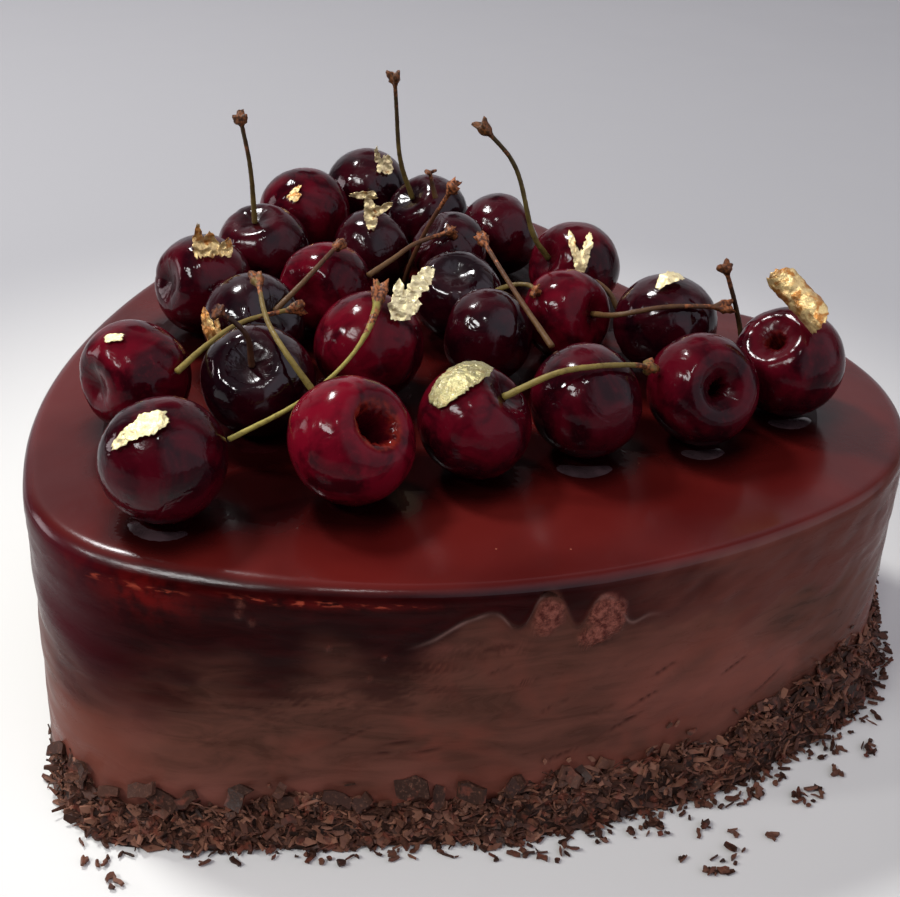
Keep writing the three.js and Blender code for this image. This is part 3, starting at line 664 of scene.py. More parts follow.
def band_height(run):
    far = BAND_ELSEWHERE + 4 * np.sin(run / 11) + 2.5 * np.sin(run / 4.7 + 1)
    front = through(BAND, run)
    inside = smoothstep(BAND[0][0], BAND[1][0], run) * (1 - smoothstep(BAND[-2][0], BAND[-1][0], run))
    return far + (front - far) * inside


def crispness(run):
    """0 where the dark band fades out softly, and 1 where it ends in a lip."""
    return smoothstep(LIP[0] - 8, LIP[0] + 6, run) * (1 - smoothstep(LIP[1] - 6, LIP[1] + 8, run))


# ---- the glazed body -------------------------------------


def spot(run, z, at_run, at_z, half_run, half_z):
    """1 at a place on the wall, fading out at these half sizes."""
    return bell(run, at_run, half_run) * bell(z, at_z, half_z)


def wall_relief(run, z, band):
    """How far the glaze stands out of the plain wall, and the values that colour it."""
    crisp = crispness(run)
    over_band = z - band
    points = points_at(run, z * 3.2)
    swirl = rough(points, 26, 3.1) * 0.38 + rough(points, 11, 8.4) * 0.17
    fine = rough(points, 5.5, 5.7) * 0.1
    cloud = rough(points * (1, 0.35, 1), 13, 2.6)
    fray = rough(points * (1, 0.12, 1), 3.4, 9.1) * 0.5
    along = points_at((run + 0.7 * z) * 0.35, z - 0.55 * run)
    slant = rough(along, 4.4, 5.1) + 0.5 * rough(along, 1.9, 1.4)
    streak = rough(points * (1, 2, 1), 8, 6.3) + 0.5 * rough(points * (1, 2, 1), 3, 4.3)
    folded = smoothstep(116, 136, run)
    folds = rough(points_at(run, 0.2 * z), 5.5, 3.3)
    roll = smoothstep(0, 1.1, over_band) + bell(over_band, 1.1, 0.9)
    out = swirl + fine * smoothstep(20, 34, z) + crisp * 0.2 * roll
    out = out + 0.16 * slant * smoothstep(96, 130, run) + 0.3 * folds * folded * smoothstep(42, 56, z)
    soft = smoothstep(-13, 8, over_band + 9 * cloud + 14 * fine)
    soft = soft + (smoothstep(-4, 3.5, over_band + 5 * slant + 3 * cloud) - soft) * folded
    torn = smoothstep(-1.2, 2.2, over_band + 3.2 * fray + 2.5 * cloud)
    upper = 0.85 * crisp * torn + (1 - 0.85 * crisp) * soft
    # A painted highlight along the lip, where its rounded edge catches light.
    lift = bell(over_band, 0.7 * fray, 0.5) * smoothstep(0, 0.4, cloud + 1.6 * fray)
    # Painted shade just under the lip; the dark smears and the dents darken the same value too.
    dark = crisp * 0.6 * smoothstep(-5, -1.2, over_band) * np.clip(0.5 + 2.5 * swirl, 0, 1)
    pale, rub, painted_glow = np.zeros((3, *run.shape))
    # The pale smears, partly painted reflection.
    for place in PALE_SMEARS_AND_REFLECTIONS:
        pale = np.maximum(pale, 0.55 * spot(run, z, *place) * np.clip(0.75 + cloud + 2 * fine, 0, 1.3))
    for place in DARK_SMEARS:
        dark = np.maximum(dark, 0.7 * spot(run, z, *place) * smoothstep(-0.1, 0.4, streak + 0.5 * cloud))
    for place in RUBS:
        mark = spot(run, z, *place)
        rub = np.maximum(rub, smoothstep(0.25, 0.6, mark * (1 + 3 * fine + 0.8 * fray)))
        out = out + 0.8 * smoothstep(0.1, 0.8, mark * (1 + 0.8 * fray)) * (1 + 3 * fine)
    for at_run, at_z, length, rise in DENTS:
        line = z - at_z - rise * (run - at_run) - 0.5 * np.sin((run - at_run) / length * 2.4)
        mark = np.exp(-((2 * (run - at_run) / length) ** 4) - (line / (0.34 + 0.2 * fray)) ** 2)
        mark *= np.clip(0.7 + 1.5 * cloud, 0.15, 1)
        out = out - 0.35 * mark
        dark = np.maximum(dark, 0.85 * mark)
    # The painted red glow under the rim.
    for strength, *place in PAINTED_GLOWS:
        painted_glow = np.maximum(painted_glow, strength * spot(run, z, *place))
    fleck = 0.9 * smoothstep(0.3, 0.6, spot(run, z, *FLECKS[0]))
    fleck = np.maximum(fleck, smoothstep(0.25, 0.7, spot(run, z, *FLECKS[1])))
    for at_run, at_z, radius in BUBBLES:
        mark = spot(run, z, at_run, at_z, radius, radius)
        out = out + 0.35 * mark
        rub = np.maximum(rub, 0.5 * mark)
    values = {"upper": upper, "lift": 0.75 * crisp * lift, "dark": dark, "pale": pale, "rub": rub}
    values |= {"painted_glow": painted_glow, "fleck": fleck}
    values["wine"] = (1 - smoothstep(2, 26, run)) * smoothstep(-110, -50, run)
    notch = smoothstep(HALF - 70, HALF, np.abs(run))
    warm = np.clip(smoothstep(104, 160, run) + 0.35 * slant * folded, 0, 1)
    values["warm"] = warm + (0.5 - warm) * notch
    return out, {key: np.clip(value, 0, 1) for key, value in values.items()}


def column_runs():
    front = np.arange(FRONT[0], FRONT[1], FINE_STEP)
    right = np.arange(FRONT[1], HALF, COARSE_STEP)
    left = np.arange(-HALF + COARSE_STEP / 2, FRONT[0], COARSE_STEP)
    return np.concatenate([left, front, right])


def juice_and_shadow_at(x, y):
    """How dark the top is painted at these places, under the pile, at its feet and in the front row's gaps:
    dark juice and painted shadow.
    """
    dark = np.zeros_like(x)
    wander = 0.1 * rough(points_at(x, y), 6, 7.7)
    for number, (at_x, at_y, radius, *_) in enumerate(CHERRIES, 1):
        inner, outer = JUICE_AND_SHADOW["outer" if number in OUTER_ROW else "inner"]
        far = np.hypot(x - at_x - JUICE_AND_SHADOW["shift"][0], y - at_y - JUICE_AND_SHADOW["shift"][1]) / radius + wander
        dark = np.maximum(dark, 1 - smoothstep(inner, outer, far))
    row = np.array([CHERRIES[number - 1][:2] for number in FRONT_ROW])
    for first, second in zip(row, row[1:]):
        away = np.stack([x, y], -1) - (first + second) / 2 - GAP["back"]
        far = np.linalg.norm(away, axis=-1) / (GAP["radius"] * np.linalg.norm(second - first)) + wander
        dark = np.maximum(dark, 1 - smoothstep(0.7, 1.3, far))
    return 0.93 * dark


def waves(points):
    """How far the flat top's soft waves lift it at each point."""
    flat = points * (1, 1, 0)
    return rough(flat, 31, 1.3) * 0.17 + rough(flat, 12, 4.2) * 0.05


def body(wall_glaze, top_glaze):
    """The wall from the foot to the rim, its rounded upper edge and the flat top, as one skin."""
    runs = column_runs()
    band = band_height(runs)
    radius = EDGE_RADIUS + SOFT_EDGE["more"] * bell(runs, SOFT_EDGE["along"], SOFT_EDGE["spread"])
    shoulder = HEIGHT - radius
    near = EDGE_ROWS[-1]
    rows = [(band - near) * k / ROWS["below"] for k in range(ROWS["below"] + 1)]
    rows += [band + step for step in EDGE_ROWS]
    rows += [band + near + (shoulder - band - near) * k / ROWS["above"] for k in range(1, ROWS["above"] + 1)]
    angles = [pi / 2 * k / ROWS["rim"] for k in range(1, ROWS["rim"] + 1)]
    rows += [shoulder + radius * sin(angle) for angle in angles]
    heights = np.stack(rows)
    wide = np.broadcast_to(runs, heights.shape)
    out, values = wall_relief(wide, heights, band)
    values["top"] = smoothstep(HEIGHT - 1.5, HEIGHT - 0.02, heights)
    values["sheen"] = smoothstep(HEIGHT - 3.4, HEIGHT - 1.8, heights)
    last_wall = len(rows) - len(angles) - 1
    at_rim = out[last_wall] * 0.35
    fade = 1 - smoothstep(shoulder - 2.5, shoulder, heights)
    out = out * fade + at_rim * (1 - fade)
    for k, angle in enumerate(angles, last_wall + 1):
        out[k] = at_rim * (1 - 2 * angle / pi) - radius * (1 - cos(angle))
    points = [wall(wide, heights, out)]
    rim_ring = points[0][-1]
    shares = np.concatenate([np.linspace(1, 0.9, 10)[1:], np.linspace(0.9, 0.04, 37)[1:]])
    for share in shares:
        ring = rim_ring.copy()
        ring[:, :2] *= share
        points.append(ring[None])
    skin = np.concatenate(points).reshape(-1, 3)
    faces = tube_faces(len(skin) // len(runs), len(runs))
    flat = skin[:, 2] > HEIGHT - 0.5
    skin[flat, 2] += waves(skin[flat]) * smoothstep(HEIGHT - 0.5, HEIGHT, skin[flat, 2])
    skin = np.concatenate([skin, [[0, 0, 0], [0, 0, HEIGHT]]])
    inner = np.zeros(len(skin) - heights.size)
    padded = {key: np.concatenate([value.ravel(), inner]) for key, value in values.items()}
    padded["top"][heights.size:] = padded["sheen"][heights.size:] = 1
    padded["juice_and_shadow"] = np.where(skin[:, 2] > HEIGHT - 0.5, juice_and_shadow_at(skin[:, 0], skin[:, 1]), 0)
    glossy = padded["juice_and_shadow"] <= 0.7  # the part of the top painted dark with juice and shadow has the wall's duller finish
    glossy[:(last_wall + 4) * len(runs)] = False
    quads = len(faces) - 2 * len(runs)
    picks = [*glossy[:quads], *[False] * 2 * len(runs)]
    made = make("glazed_body", skin, faces, [wall_glaze, top_glaze], "glaze", picks, **padded)
    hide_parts("cake")
    return made


# ---- shavings and crumbs ---------------------------------


def bank_out(run):
    wander = 1 + 0.14 * np.sin(run / 7.3) + 0.1 * np.sin(run / 3.1 + 1.7)
    return BANK["out"] * wander * (1 - 0.85 * np.exp(-(((run - BANK["bare"]) / BANK["bare_half"]) ** 4)))


def bank_top(run):
    rise = BANK["low"] + (BANK["high"] - BANK["low"]) * smoothstep(*BANK["climbs"], np.abs(run))
    rise = rise * np.clip(bank_out(run) / BANK["out"], 0.2, 0.9) / 0.9
    return rise * (1 + 0.14 * np.sin(run / 9.7 + 2) + 0.1 * np.sin(run / 4.1))


STATIONS = np.array([-0.5, -0.18, 0.18, 0.5])
# Four points at each station of a chip: left under, right under, right over, left over.
CHIP_FACES = [(4 * k + a, 4 * k + (a + 1) % 4, 4 * k + 4 + (a + 1) % 4, 4 * k + 4 + a)
              for k in range(3) for a in range(4)] + [(3, 2, 1, 0), (12, 13, 14, 15)]


def turned(frames, axis, angle):
    """Frames (n, 3, 3) of unit rows, each turned about its own row `axis` by its angle."""
    a, b = [(1, 2), (2, 0), (0, 1)][axis]
    made = frames.copy()
    c, s = np.cos(angle)[:, None], np.sin(angle)[:, None]
    made[:, a] = frames[:, a] * c + frames[:, b] * s
    made[:, b] = frames[:, b] * c - frames[:, a] * s
    return made


def drawn(kind, count):
    """Lengths, widths and thicknesses of this many chips, most of them small."""
    length = between(kind["length"], draw.random(count) ** 1.2)
    width = between(kind["width"], draw.random(count) ** 1.2)
    return length, width, between(kind["thick"], draw.random(count))


def chips(centres, frames, sizes, curl, blunt=0.0):
    """Thin irregular curled slabs, tapered unless they are blunt: row 0 of a frame runs along a chip,
    row 1 across and row 2 out of its face. Returns points, faces and each point's shade."""
    count = len(centres)
    length, width, thick = sizes
    bend = np.maximum(curl * draw.random(count) ** 2, 0.02)
    taper = 0.45 + 0.55 * draw.random((count, 4))
    taper[:, 0] *= 0.2 + 0.8 * draw.random(count)
    taper[:, 3] *= 0.2 + 0.8 * draw.random(count)
    taper = blunt + (1 - blunt) * taper
    aside = (draw.random((count, 4)) - 0.5) * 0.35
    angle = bend[:, None] * STATIONS
    ahead = length[:, None] * np.sin(angle) / bend[:, None]
    up = length[:, None] * (1 - np.cos(angle)) / bend[:, None]
    along, across, face = frames[:, None, 0], frames[:, None, 1], frames[:, None, 2]
    middle = centres[:, None] + along * ahead[..., None] + face * up[..., None]
    middle = middle + across * (aside * width[:, None])[..., None]
    out = face * np.cos(angle)[..., None] - along * np.sin(angle)[..., None]
    half = across * (0.5 * width[:, None] * taper)[..., None]
    lift = out * (0.5 * thick[:, None])[..., None]
    corners = [middle - half - lift, middle + half - lift, middle + half + lift, middle - half + lift]
    points = np.stack(corners, 2).reshape(count, 16, 3)
    sunk = np.maximum(0.05 - points[..., 2].min(1), 0)
    points[..., 2] += sunk[:, None]
    faces = (np.array(CHIP_FACES)[None] + 16 * np.arange(count)[:, None, None]).reshape(-1, 4)
    own = draw.random(count)
    shade = np.repeat(np.where(own < 0.55, own * 0.5, own), 16) * 0.8 + 0.2 * draw.random(count * 16)
    return points.reshape(-1, 3), faces, shade


def lying(run, slope, spread, spin=None):
    """Frames that lie on a slope leaning back against the wall, with random tilt of this spread, and
    turned in their own plane by the spin, or by anything."""
    count = len(run)
    _, normals = edge(run)
    out = np.concatenate([normals, np.zeros((count, 1))], 1)
    up = np.broadcast_to([0.0, 0.0, 1.0], out.shape)
    rise, back = (np.broadcast_to(way(slope), count)[:, None] for way in (np.sin, np.cos))
    frames = np.stack([np.cross(up, out), up * rise - out * back, out * rise + up * back], 1)
    frames = turned(frames, 2, draw.random(count) * 2 * pi if spin is None else spin)
    frames = turned(frames, 0, (draw.random(count) - 0.5) * spread)
    return turned(frames, 1, (draw.random(count) - 0.5) * spread)


def bank_places(run, up, reach=0.72):
    """Places in the bank at a share of the way up it, inside its slope by the reach."""
    z = np.maximum(bank_top(run) * up, 0.5)
    return wall(run, z, reach * bank_out(run) * np.clip(1 - up, 0, 1) ** 0.7)


def banked_runs(count):
    """Runs all round the edge, but none where the bank is bare."""
    run = (draw.random(2 * count) * 2 - 1) * HALF
    return run[bank_out(run) > BARE][:count]


def bank_core():
    """The dark heap under the shavings, at the darkest chocolate shade: partly painted shade in the gaps
    between them.
    """
    runs = np.linspace(-HALF, HALF, 420, endpoint=False)
    ups = [(0, 0.7), (0.25, 0.62), (0.5, 0.45), (0.75, 0.2), (0.88, 0.02), (0.88, -0.25), (0, -0.25)]
    rows = [wall(runs, bank_top(runs) * up, bank_out(runs) * out) for up, out in ups]
    points = np.concatenate(rows)
    lumps = rough(points, 2.2, 6.6)
    points[:, 2] = np.maximum(points[:, 2] + 0.5 * lumps * (points[:, 2] > 0.5), 0.02)
    faces = grid_faces(len(ups), len(runs), True)
    around = grid_faces(2, len(runs), True)
    last = (len(ups) - 1) * len(runs)
    close = [(last + a, last + b, b, a) for a, b, _, _ in around]
    # Shade 0, the darkest chocolate: partly painted shade in the bank's gaps.
    return points, np.concatenate([faces, close]), np.zeros(len(points))


def joined(parts):
    """Points, faces and shades of several parts as one."""
    offset, points, faces, shades = 0, [], [], []
    for part_points, part_faces, part_shades in parts:
        points.append(part_points)
        faces.append(np.asarray(part_faces) + offset)
        shades.append(part_shades)
        offset += len(part_points)
    return np.concatenate(points), np.concatenate(faces), np.concatenate(shades)


def shavings(material):
    """The bank of chips against the foot, the shards that stand in its crest and the stray slivers
    that stick to the wall above it."""
    parts = [bank_core()]
    for kind, curl in ((FLAKES, radians(60)), (SLIVERS, radians(150)), (BITS, 0.5)):
        run = banked_runs(kind["count"])
        up = draw.random(len(run)) ** 0.9 * 1.02
        frames = lying(run, radians(30) + radians(45) * up, radians(90), draw.normal(size=len(run)) * 0.48)
        parts.append(chips(bank_places(run, up), frames, drawn(kind, len(run)), curl))
    run = banked_runs(SHARDS["count"])
    run = run[(run < HAND_PLACED[0]) | (run > HAND_PLACED[1])]
    frames = lying(run, radians(80), radians(50))
    parts.append(chips(bank_places(run, 1.02), frames, drawn(SHARDS, len(run)), 0.3))
    run, z, length, width, spin = np.array(FRONT_SHARDS, float).T
    frames = lying(run, radians(58), radians(30), np.radians(spin))
    points, faces, shade = chips(wall(run, z, 1.4), frames, (length, width, np.ones(len(run))), 1.8, 0.6)
    parts.append((points, faces, 0.08 + 0.3 * shade))
    run = (draw.random(STRAYS["count"]) * 2 - 1) * HALF
    z = bank_top(run) * (1 + 0.45 * draw.random(len(run)) ** 2.4)
    frames = lying(run, radians(86), radians(24))
    parts.append(chips(wall(run, z, 0.4), frames, drawn(STRAYS, len(run)), 0.6))
    points, faces, shade = joined(parts)
    made = make("shavings", points, faces, [material], "shavings", smooth=False, shade=shade)
    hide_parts("cake")
    return made


def crumbs(material):
    """Loose crumbs on the table beside the foot, in little clusters."""
    places = []
    for x, y, size in CRUMBS:
        for _ in range(2 + int(size)):
            places.append((x + draw.normal() * size * 0.42, y + draw.normal() * size * 0.42, 0.5))
    run = between(FOOT_CRUMBS["runs"], draw.random(FOOT_CRUMBS["count"]) ** 0.6)
    out = bank_out(run) * 0.8 + FOOT_CRUMBS["out"] * draw.random(len(run)) ** 2
    places = np.concatenate([places, wall(run, 0.5, out)])
    places[:, 0] = np.minimum(places[:, 0], CRUMBS_END)
    frames = np.broadcast_to(np.eye(3), (len(places), 3, 3)).copy()
    frames = turned(frames, 2, draw.random(len(places)) * 2 * pi)
    frames = turned(frames, 0, (draw.random(len(places)) - 0.5) * 1.4)
    points, faces, shade = chips(places, frames, drawn(CRUMB, len(places)), 1.2)
    return make("crumbs", points, faces, [material], "shavings", smooth=False, shade=shade * 0.8)


# ---- cherries --------------------------------------------


def cherry_form(radius, dimple, pit, seed):
    """A cherry about its own axis, dimple up: a seam down one side, soft lumps, and a shaft where
    the stone came out. Returns points, faces and how deep in a hollow each point is."""
    share = np.linspace(0, 1, CHERRY_RINGS + 1)[1:-1, None]
    phi = np.linspace(0, 2 * pi, CHERRY_SIDES, endpoint=False)
    theta, phi = np.broadcast_arrays(pi * (0.35 * share + 0.65 * share**1.7), phi)
    reach = radius * (0.95 + 0.05 * np.sin(theta) - 0.015 * (1 - np.cos(theta)))
    seam = bell(phi, pi, 0.1) * np.sin(theta) ** 0.5
    cheeks = 0.012 * radius * np.cos(2 * phi) * np.sin(theta) ** 2
    reach = reach - 0.2 * seam + cheeks
    ball = points_at(np.sin(theta) * np.cos(phi), np.sin(theta) * np.sin(phi), np.cos(theta))
    lumps, dents = rough(ball, 0.75, seed), rough(ball, 0.33, seed + 7)
    creases = rough(points_at(2.4 * np.cos(phi), 2.4 * np.sin(phi), 0.8 * theta), 0.6, seed + 3)
    reach = reach + radius * (0.022 * lumps + 0.007 * dents) * smoothstep(0.15, 0.6, theta)
    reach = reach + 0.1 * creases * smoothstep(0.1, 0.35, theta) * (1 - smoothstep(0.6, 1.3, theta))
    hollow = dimple * bell(theta, 0, DIMPLE_SPREAD)
    across = reach * np.sin(theta)
    deep = 0.6 * bell(theta, 0, 0.8 * DIMPLE_SPREAD)
    if pit:
        ragged = pit * (1 + 0.3 * creases + 0.16 * np.cos(2 * phi + seed))
        mouth = (theta < 1.5) * (1 - smoothstep(0.45 * ragged, 1.5 * ragged, across))
        hollow = hollow + SHAFT_DEPTH * mouth
        deep = np.maximum(deep, mouth**0.7)
    blossom = 0.35 * bell(theta, pi, 0.1)
    z = reach * np.cos(theta) - hollow + blossom
    points = points_at(across * np.cos(phi), across * np.sin(phi), z)
    ends = [[0, 0, points[0, :, 2].mean()], [0, 0, points[-1, :, 2].mean()]]
    faces = [face[::-1] for face in tube_faces(len(points), CHERRY_SIDES)]
    points = np.concatenate([points.reshape(-1, 3), ends])
    return points, faces, np.concatenate([deep.ravel(), [deep[0, 0], 0]])


def aimed(points, direction):
    """Points about +Z, turned so that +Z looks along the direction."""
    turn = Vector((0, 0, 1)).rotation_difference(Vector(direction))
    return points @ np.array(turn.to_matrix()).T


def cherries():
    """Each cherry in place of its solid, its lowest point where the solid's is. Returns the middles."""
    skins = {}
    middles = []
    for number, (x, y, radius, compass, height, dimple, ripeness) in enumerate(CHERRIES, 1):
        pit = PITTED.get(number, 0)
        points, faces, deep = cherry_form(radius, dimple, pit, number * 3.7)
        points = aimed(points, bearing(compass, height))
        node = f"cherry_{number:02d}"
        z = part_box(node)[0].z / MM - points[:, 2].min()
        middles.append(np.array([x, y, z]))
        step = round(ripeness * 8)
        if step not in skins:
            skins[step] = cherry_skin(step, step / 8)
        share, first, last = PULPY.get(number, (0, 0, 1))
        flesh = share * smoothstep(first, first + 0.08, deep) * (1 - smoothstep(last - 0.2, last, deep))
        made = make(f"{node}_skin", points + middles[-1], faces, [skins[step]], "cherry_skin",
                    deep=deep, flesh=flesh)
        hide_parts(node)
    return middles


def film(name, blobs, material, depth, uneven=1.0):
    """A film of juice over round blobs (x, y, radius), whose edges sink into the glaze."""
    blobs = np.array(blobs)
    low, high = (blobs[:, :2] - blobs[:, 2:]).min(0) - 3, (blobs[:, :2] + blobs[:, 2:]).max(0) + 3
    ys, xs = (np.arange(low[k], high[k], FILM_STEP) for k in (1, 0))
    y, x = np.meshgrid(ys, xs, indexing="ij")
    flat = points_at(x, y)
    wander = rough(flat, 9, depth) * 1.1 + rough(flat, 3.5, 2 * depth) * 0.3
    inside = np.full(x.shape, -9.0)
    for at_x, at_y, radius in blobs:
        inside = np.maximum(inside, radius - np.hypot(x - at_x, y - at_y))
    inside = inside + uneven * wander
    z = HEIGHT + waves(flat) - 0.1 + (0.1 + depth) * smoothstep(-2, 2.5, inside)
    points = points_at(x, y, z).reshape(-1, 3)
    faces = grid_faces(*x.shape, False)
    faces = faces[(inside.ravel()[faces] > -1.6).any(1)]
    used, faces = np.unique(faces, return_inverse=True)
    return make(name, points[used], faces.reshape(-1, 4), [material], "glaze")


def puddles(middles):
    """The dark juice under the pile, a film that is partly painted shade, and clear pools of it at the front
    cherries' feet, tinted as a painted reflection.
    """
    under = [(*middle[:2], CHERRIES[k][2] * (UNDER_OUTER if k + 1 in OUTER_ROW else UNDER_PILE))
             for k, middle in enumerate(middles)]
    # A dark film under the pile: juice, and partly painted shade in its gaps.
    dark = juice("juice_and_shade_film", level=0.06, tint=(0.014, 0.0013, 0.0018), gloss=0.2)
    film("juice_and_shade_film", under, dark, depth=0.05)
    blobs = []
    for number, away, first, last, half in POOLS:
        for share in np.linspace(-1, 1, 9):
            turn = radians((first + last) / 2 + share * (last - first) / 2)
            place = middles[number - 1][:2] + away * unit(turn)
            blobs.append((*place, half * (1 - 0.5 * share**2)))
    # The pools' mauve-grey tint is a painted reflection.
    clear = juice("juice_pools_painted_sheen", level=0.5, tint=(0.042, 0.025, 0.028), gloss=0.12)
    film("juice_pools_painted_sheen", blobs, clear, depth=0.3, uneven=0.4)


# ---- stalks ----------------------------------------------


def curve_through(points, count):
    """Points evenly along a centripetal Catmull-Rom curve."""
    points = np.array(points, float)
    ends = [2 * points[0] - points[1], 2 * points[-1] - points[-2]]
    p = np.concatenate([[ends[0]], points, [ends[1]]])
    fine = []
    for a, b, c, d in zip(p, p[1:], p[2:], p[3:]):
        gaps = [max(np.linalg.norm(v - u), 1e-6) ** 0.5 for u, v in ((a, b), (b, c), (c, d))]
        leave = ((b - a) / gaps[0] - (c - a) / (gaps[0] + gaps[1]) + (c - b) / gaps[1]) * gaps[1]
        arrive = ((c - b) / gaps[1] - (d - b) / (gaps[1] + gaps[2]) + (d - c) / gaps[2]) * gaps[1]
        for t in np.linspace(0, 1, 40, endpoint=False):
            rest = -2 * t**3 + 3 * t**2
            fine.append(b * (1 - rest) + c * rest + leave * (t**3 - 2 * t**2 + t) + arrive * (t**3 - t**2))
    fine = np.array([*fine, points[-1]])
    travelled = np.concatenate([[0], np.cumsum(np.linalg.norm(np.diff(fine, axis=0), axis=1))])
    wanted = np.linspace(0, travelled[-1], count)
    return np.stack([np.interp(wanted, travelled, fine[:, k]) for k in range(3)], 1)


def stalk_radius(share):
    flare = np.clip(1 - share / STALK["knob_from"], 0, 1) ** 2
    slim = STALK["waist"] + (STALK["foot"] - STALK["waist"]) * flare
    knob = STALK["knob"] * (0.9 + 0.25 * np.sin(np.clip((share - 0.9) / 0.1, 0, 1) * pi))
    return slim + (knob - slim) * smoothstep(0.88, 0.96, share)


def stalk_form(number, line):
    """Points and faces of a stalk round this line, with a torn knob, and each point's share of its
    length."""
    share = np.linspace(0, 1, STALK_STEPS)
    radius = stalk_radius(share)
    if number == SLIM_STALK[0]:
        radius = radius * SLIM_STALK[1] + 0.5 * smoothstep(0.6, 0.92, share)
    heading = np.gradient(line, axis=0)
    heading /= np.linalg.norm(heading, axis=1)[:, None]
    side = np.cross(heading, [0.31, 0.2, 0.93] if abs(heading[0][2]) < 0.8 else [0.9, 0.3, 0.2])
    side /= np.linalg.norm(side, axis=1)[:, None]
    other = np.cross(heading, side)
    angle = np.linspace(0, 2 * pi, STALK_SIDES, endpoint=False)
    spokes = side[:, None] * np.cos(angle)[None, :, None] + other[:, None] * np.sin(angle)[None, :, None]
    skin = line[:, None] + spokes * radius[:, None, None]
    gnarl = rough(skin, 1.1, number)
    lobes = 0.3 * np.sin(3 * angle + number)[None] + 0.2 * np.sin(5 * angle + 2 * number)[None]
    torn = smoothstep(0.88, 0.96, share)[:, None]
    skin = skin + spokes * (0.07 * gnarl + torn * (0.9 * gnarl + lobes))[..., None]
    skin = skin + heading[:, None] * (torn * smoothstep(0.95, 1, share)[:, None] * 1.6 * gnarl)[..., None]
    ends = [line[0] - heading[0] * 0.25, line[-1] - heading[-1] * 0.5]
    points = np.concatenate([skin.reshape(-1, 3), ends])
    along = np.concatenate([np.repeat(share, STALK_SIDES), [0, 1]])
    return points, tube_faces(STALK_STEPS, STALK_SIDES), along


def stalks(middles):
    for number, (cherry, route, green, dark) in enumerate(STALKS, 1):
        route = list(route)
        if cherry:
            _, _, radius, compass, height, dimple, _ = CHERRIES[cherry - 1]
            seat = 0.92 * radius - dimple + STALK["seat"]
            route.insert(0, middles[cherry - 1] + bearing(compass, height) * (seat - 0.9))
        points, faces, along = stalk_form(number, curve_through(route, STALK_STEPS))
        skin = stalk_skin(number, green, dark)
        made = make(f"stalk_{number:02d}_skin", points, faces, [skin], "stalk", along=along)
        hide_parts(f"stalk_{number:02d}")


# ---- gold leaf -------------------------------------------


def leaf_surface(number, middles, across_by, along_by):
    """Points of a scrap at these places across and along it, and the way that it faces there. Its
    middle line starts at the cherry and bends at an even rate, and it is crumpled."""
    cherry, at, along, length, bend, wraps, _, _, crumple = LEAVES[number - 1]
    clear = CHERRIES[cherry - 1][2] + LEAF_OFF_SKIN + LEAF_THICKNESS
    normal, ahead = bearing(*at), bearing(*along)
    root = middles[cherry - 1] + normal * clear
    across = np.cross(ahead, normal)
    across /= np.linalg.norm(across)
    face = np.cross(across, ahead)
    reach = length / radians(bend)
    turned_by = along_by / reach
    flat = points_at(across_by, along_by, number * 5.0)
    fold = 0.6 - 1.6 * np.abs(rough(flat, 2.7, 1.1)) + 0.6 * rough(flat, 1.1, 2.2)
    lift = crumple * (0.8 * fold + 0.2) - (across_by**2 / (2 * clear) if wraps else 0)
    out = face * np.cos(turned_by)[..., None] + ahead * np.sin(turned_by)[..., None]
    middle = root + ahead * (reach * np.sin(turned_by))[..., None]
    middle = middle - face * (reach * (1 - np.cos(turned_by)))[..., None] + across * across_by[..., None]
    return middle + out * lift[..., None], out


def torn_strip(number, index, strip):
    """Places across and along a scrap, over one strip with ragged sides and torn ends."""
    start, end, widths = np.array(strip[:2], float), np.array(strip[2:4], float), strip[4:]
    length = np.linalg.norm(end - start)
    rows, columns = int(length / FOIL["mesh"]) + 8, int(max(widths) / FOIL["mesh"]) + 7
    share, side = np.meshgrid(np.linspace(0, 1, rows), np.linspace(-0.5, 0.5, columns), indexing="ij")
    seed = number * 3.3 + index
    marks = points_at(share[:, 0] * length, seed)
    fine = min(1, 3 / max(widths))  # wide scraps have smoother edges
    ragged = (1 + fine * (0.5 * rough(marks, 0.9) + 0.25 * rough(marks, 0.35, 4.4)))[:, None]
    shifted = (0.3 * rough(marks, 1.4, 8.8))[:, None]
    width = (widths[0] + (widths[1] - widths[0]) * share) * np.clip(ragged, 0.45, 1.35)
    width = width * np.sin(np.clip(share, 0.02, 0.98) * pi) ** 0.28
    ends = points_at(side * max(widths), seed, 1)
    torn = 0.9 * rough(ends, 0.8 / fine) * (2 * share - 1) ** 3
    ahead = (end - start) / length
    aside = np.array([ahead[1], -ahead[0]])
    places = start + ahead * (share * length + torn)[..., None] + aside * (side * width + shifted)[..., None]
    return places[..., 0], np.clip(places[..., 1], -0.4, None)


def leaf_solid(middle, out):
    """A closed thin skin round a sheet of points."""
    rows, columns = middle.shape[:2]
    half = out * FOIL["thickness"] / 2
    points = np.concatenate([(middle - half).reshape(-1, 3), (middle + half).reshape(-1, 3)])
    faces = grid_faces(rows, columns, False)
    count = rows * columns
    rim = [*range(columns)] + [j * columns + columns - 1 for j in range(1, rows)]
    rim += [(rows - 1) * columns + i for i in range(columns - 2, -1, -1)]
    rim += [j * columns for j in range(rows - 2, 0, -1)]
    shut = [(a, b, b + count, a + count) for a, b in zip(rim, rim[1:] + rim[:1])]
    made = [tuple(face[::-1]) for face in faces] + [tuple(face + count) for face in faces]
    return points, made + shut, np.zeros(len(points))


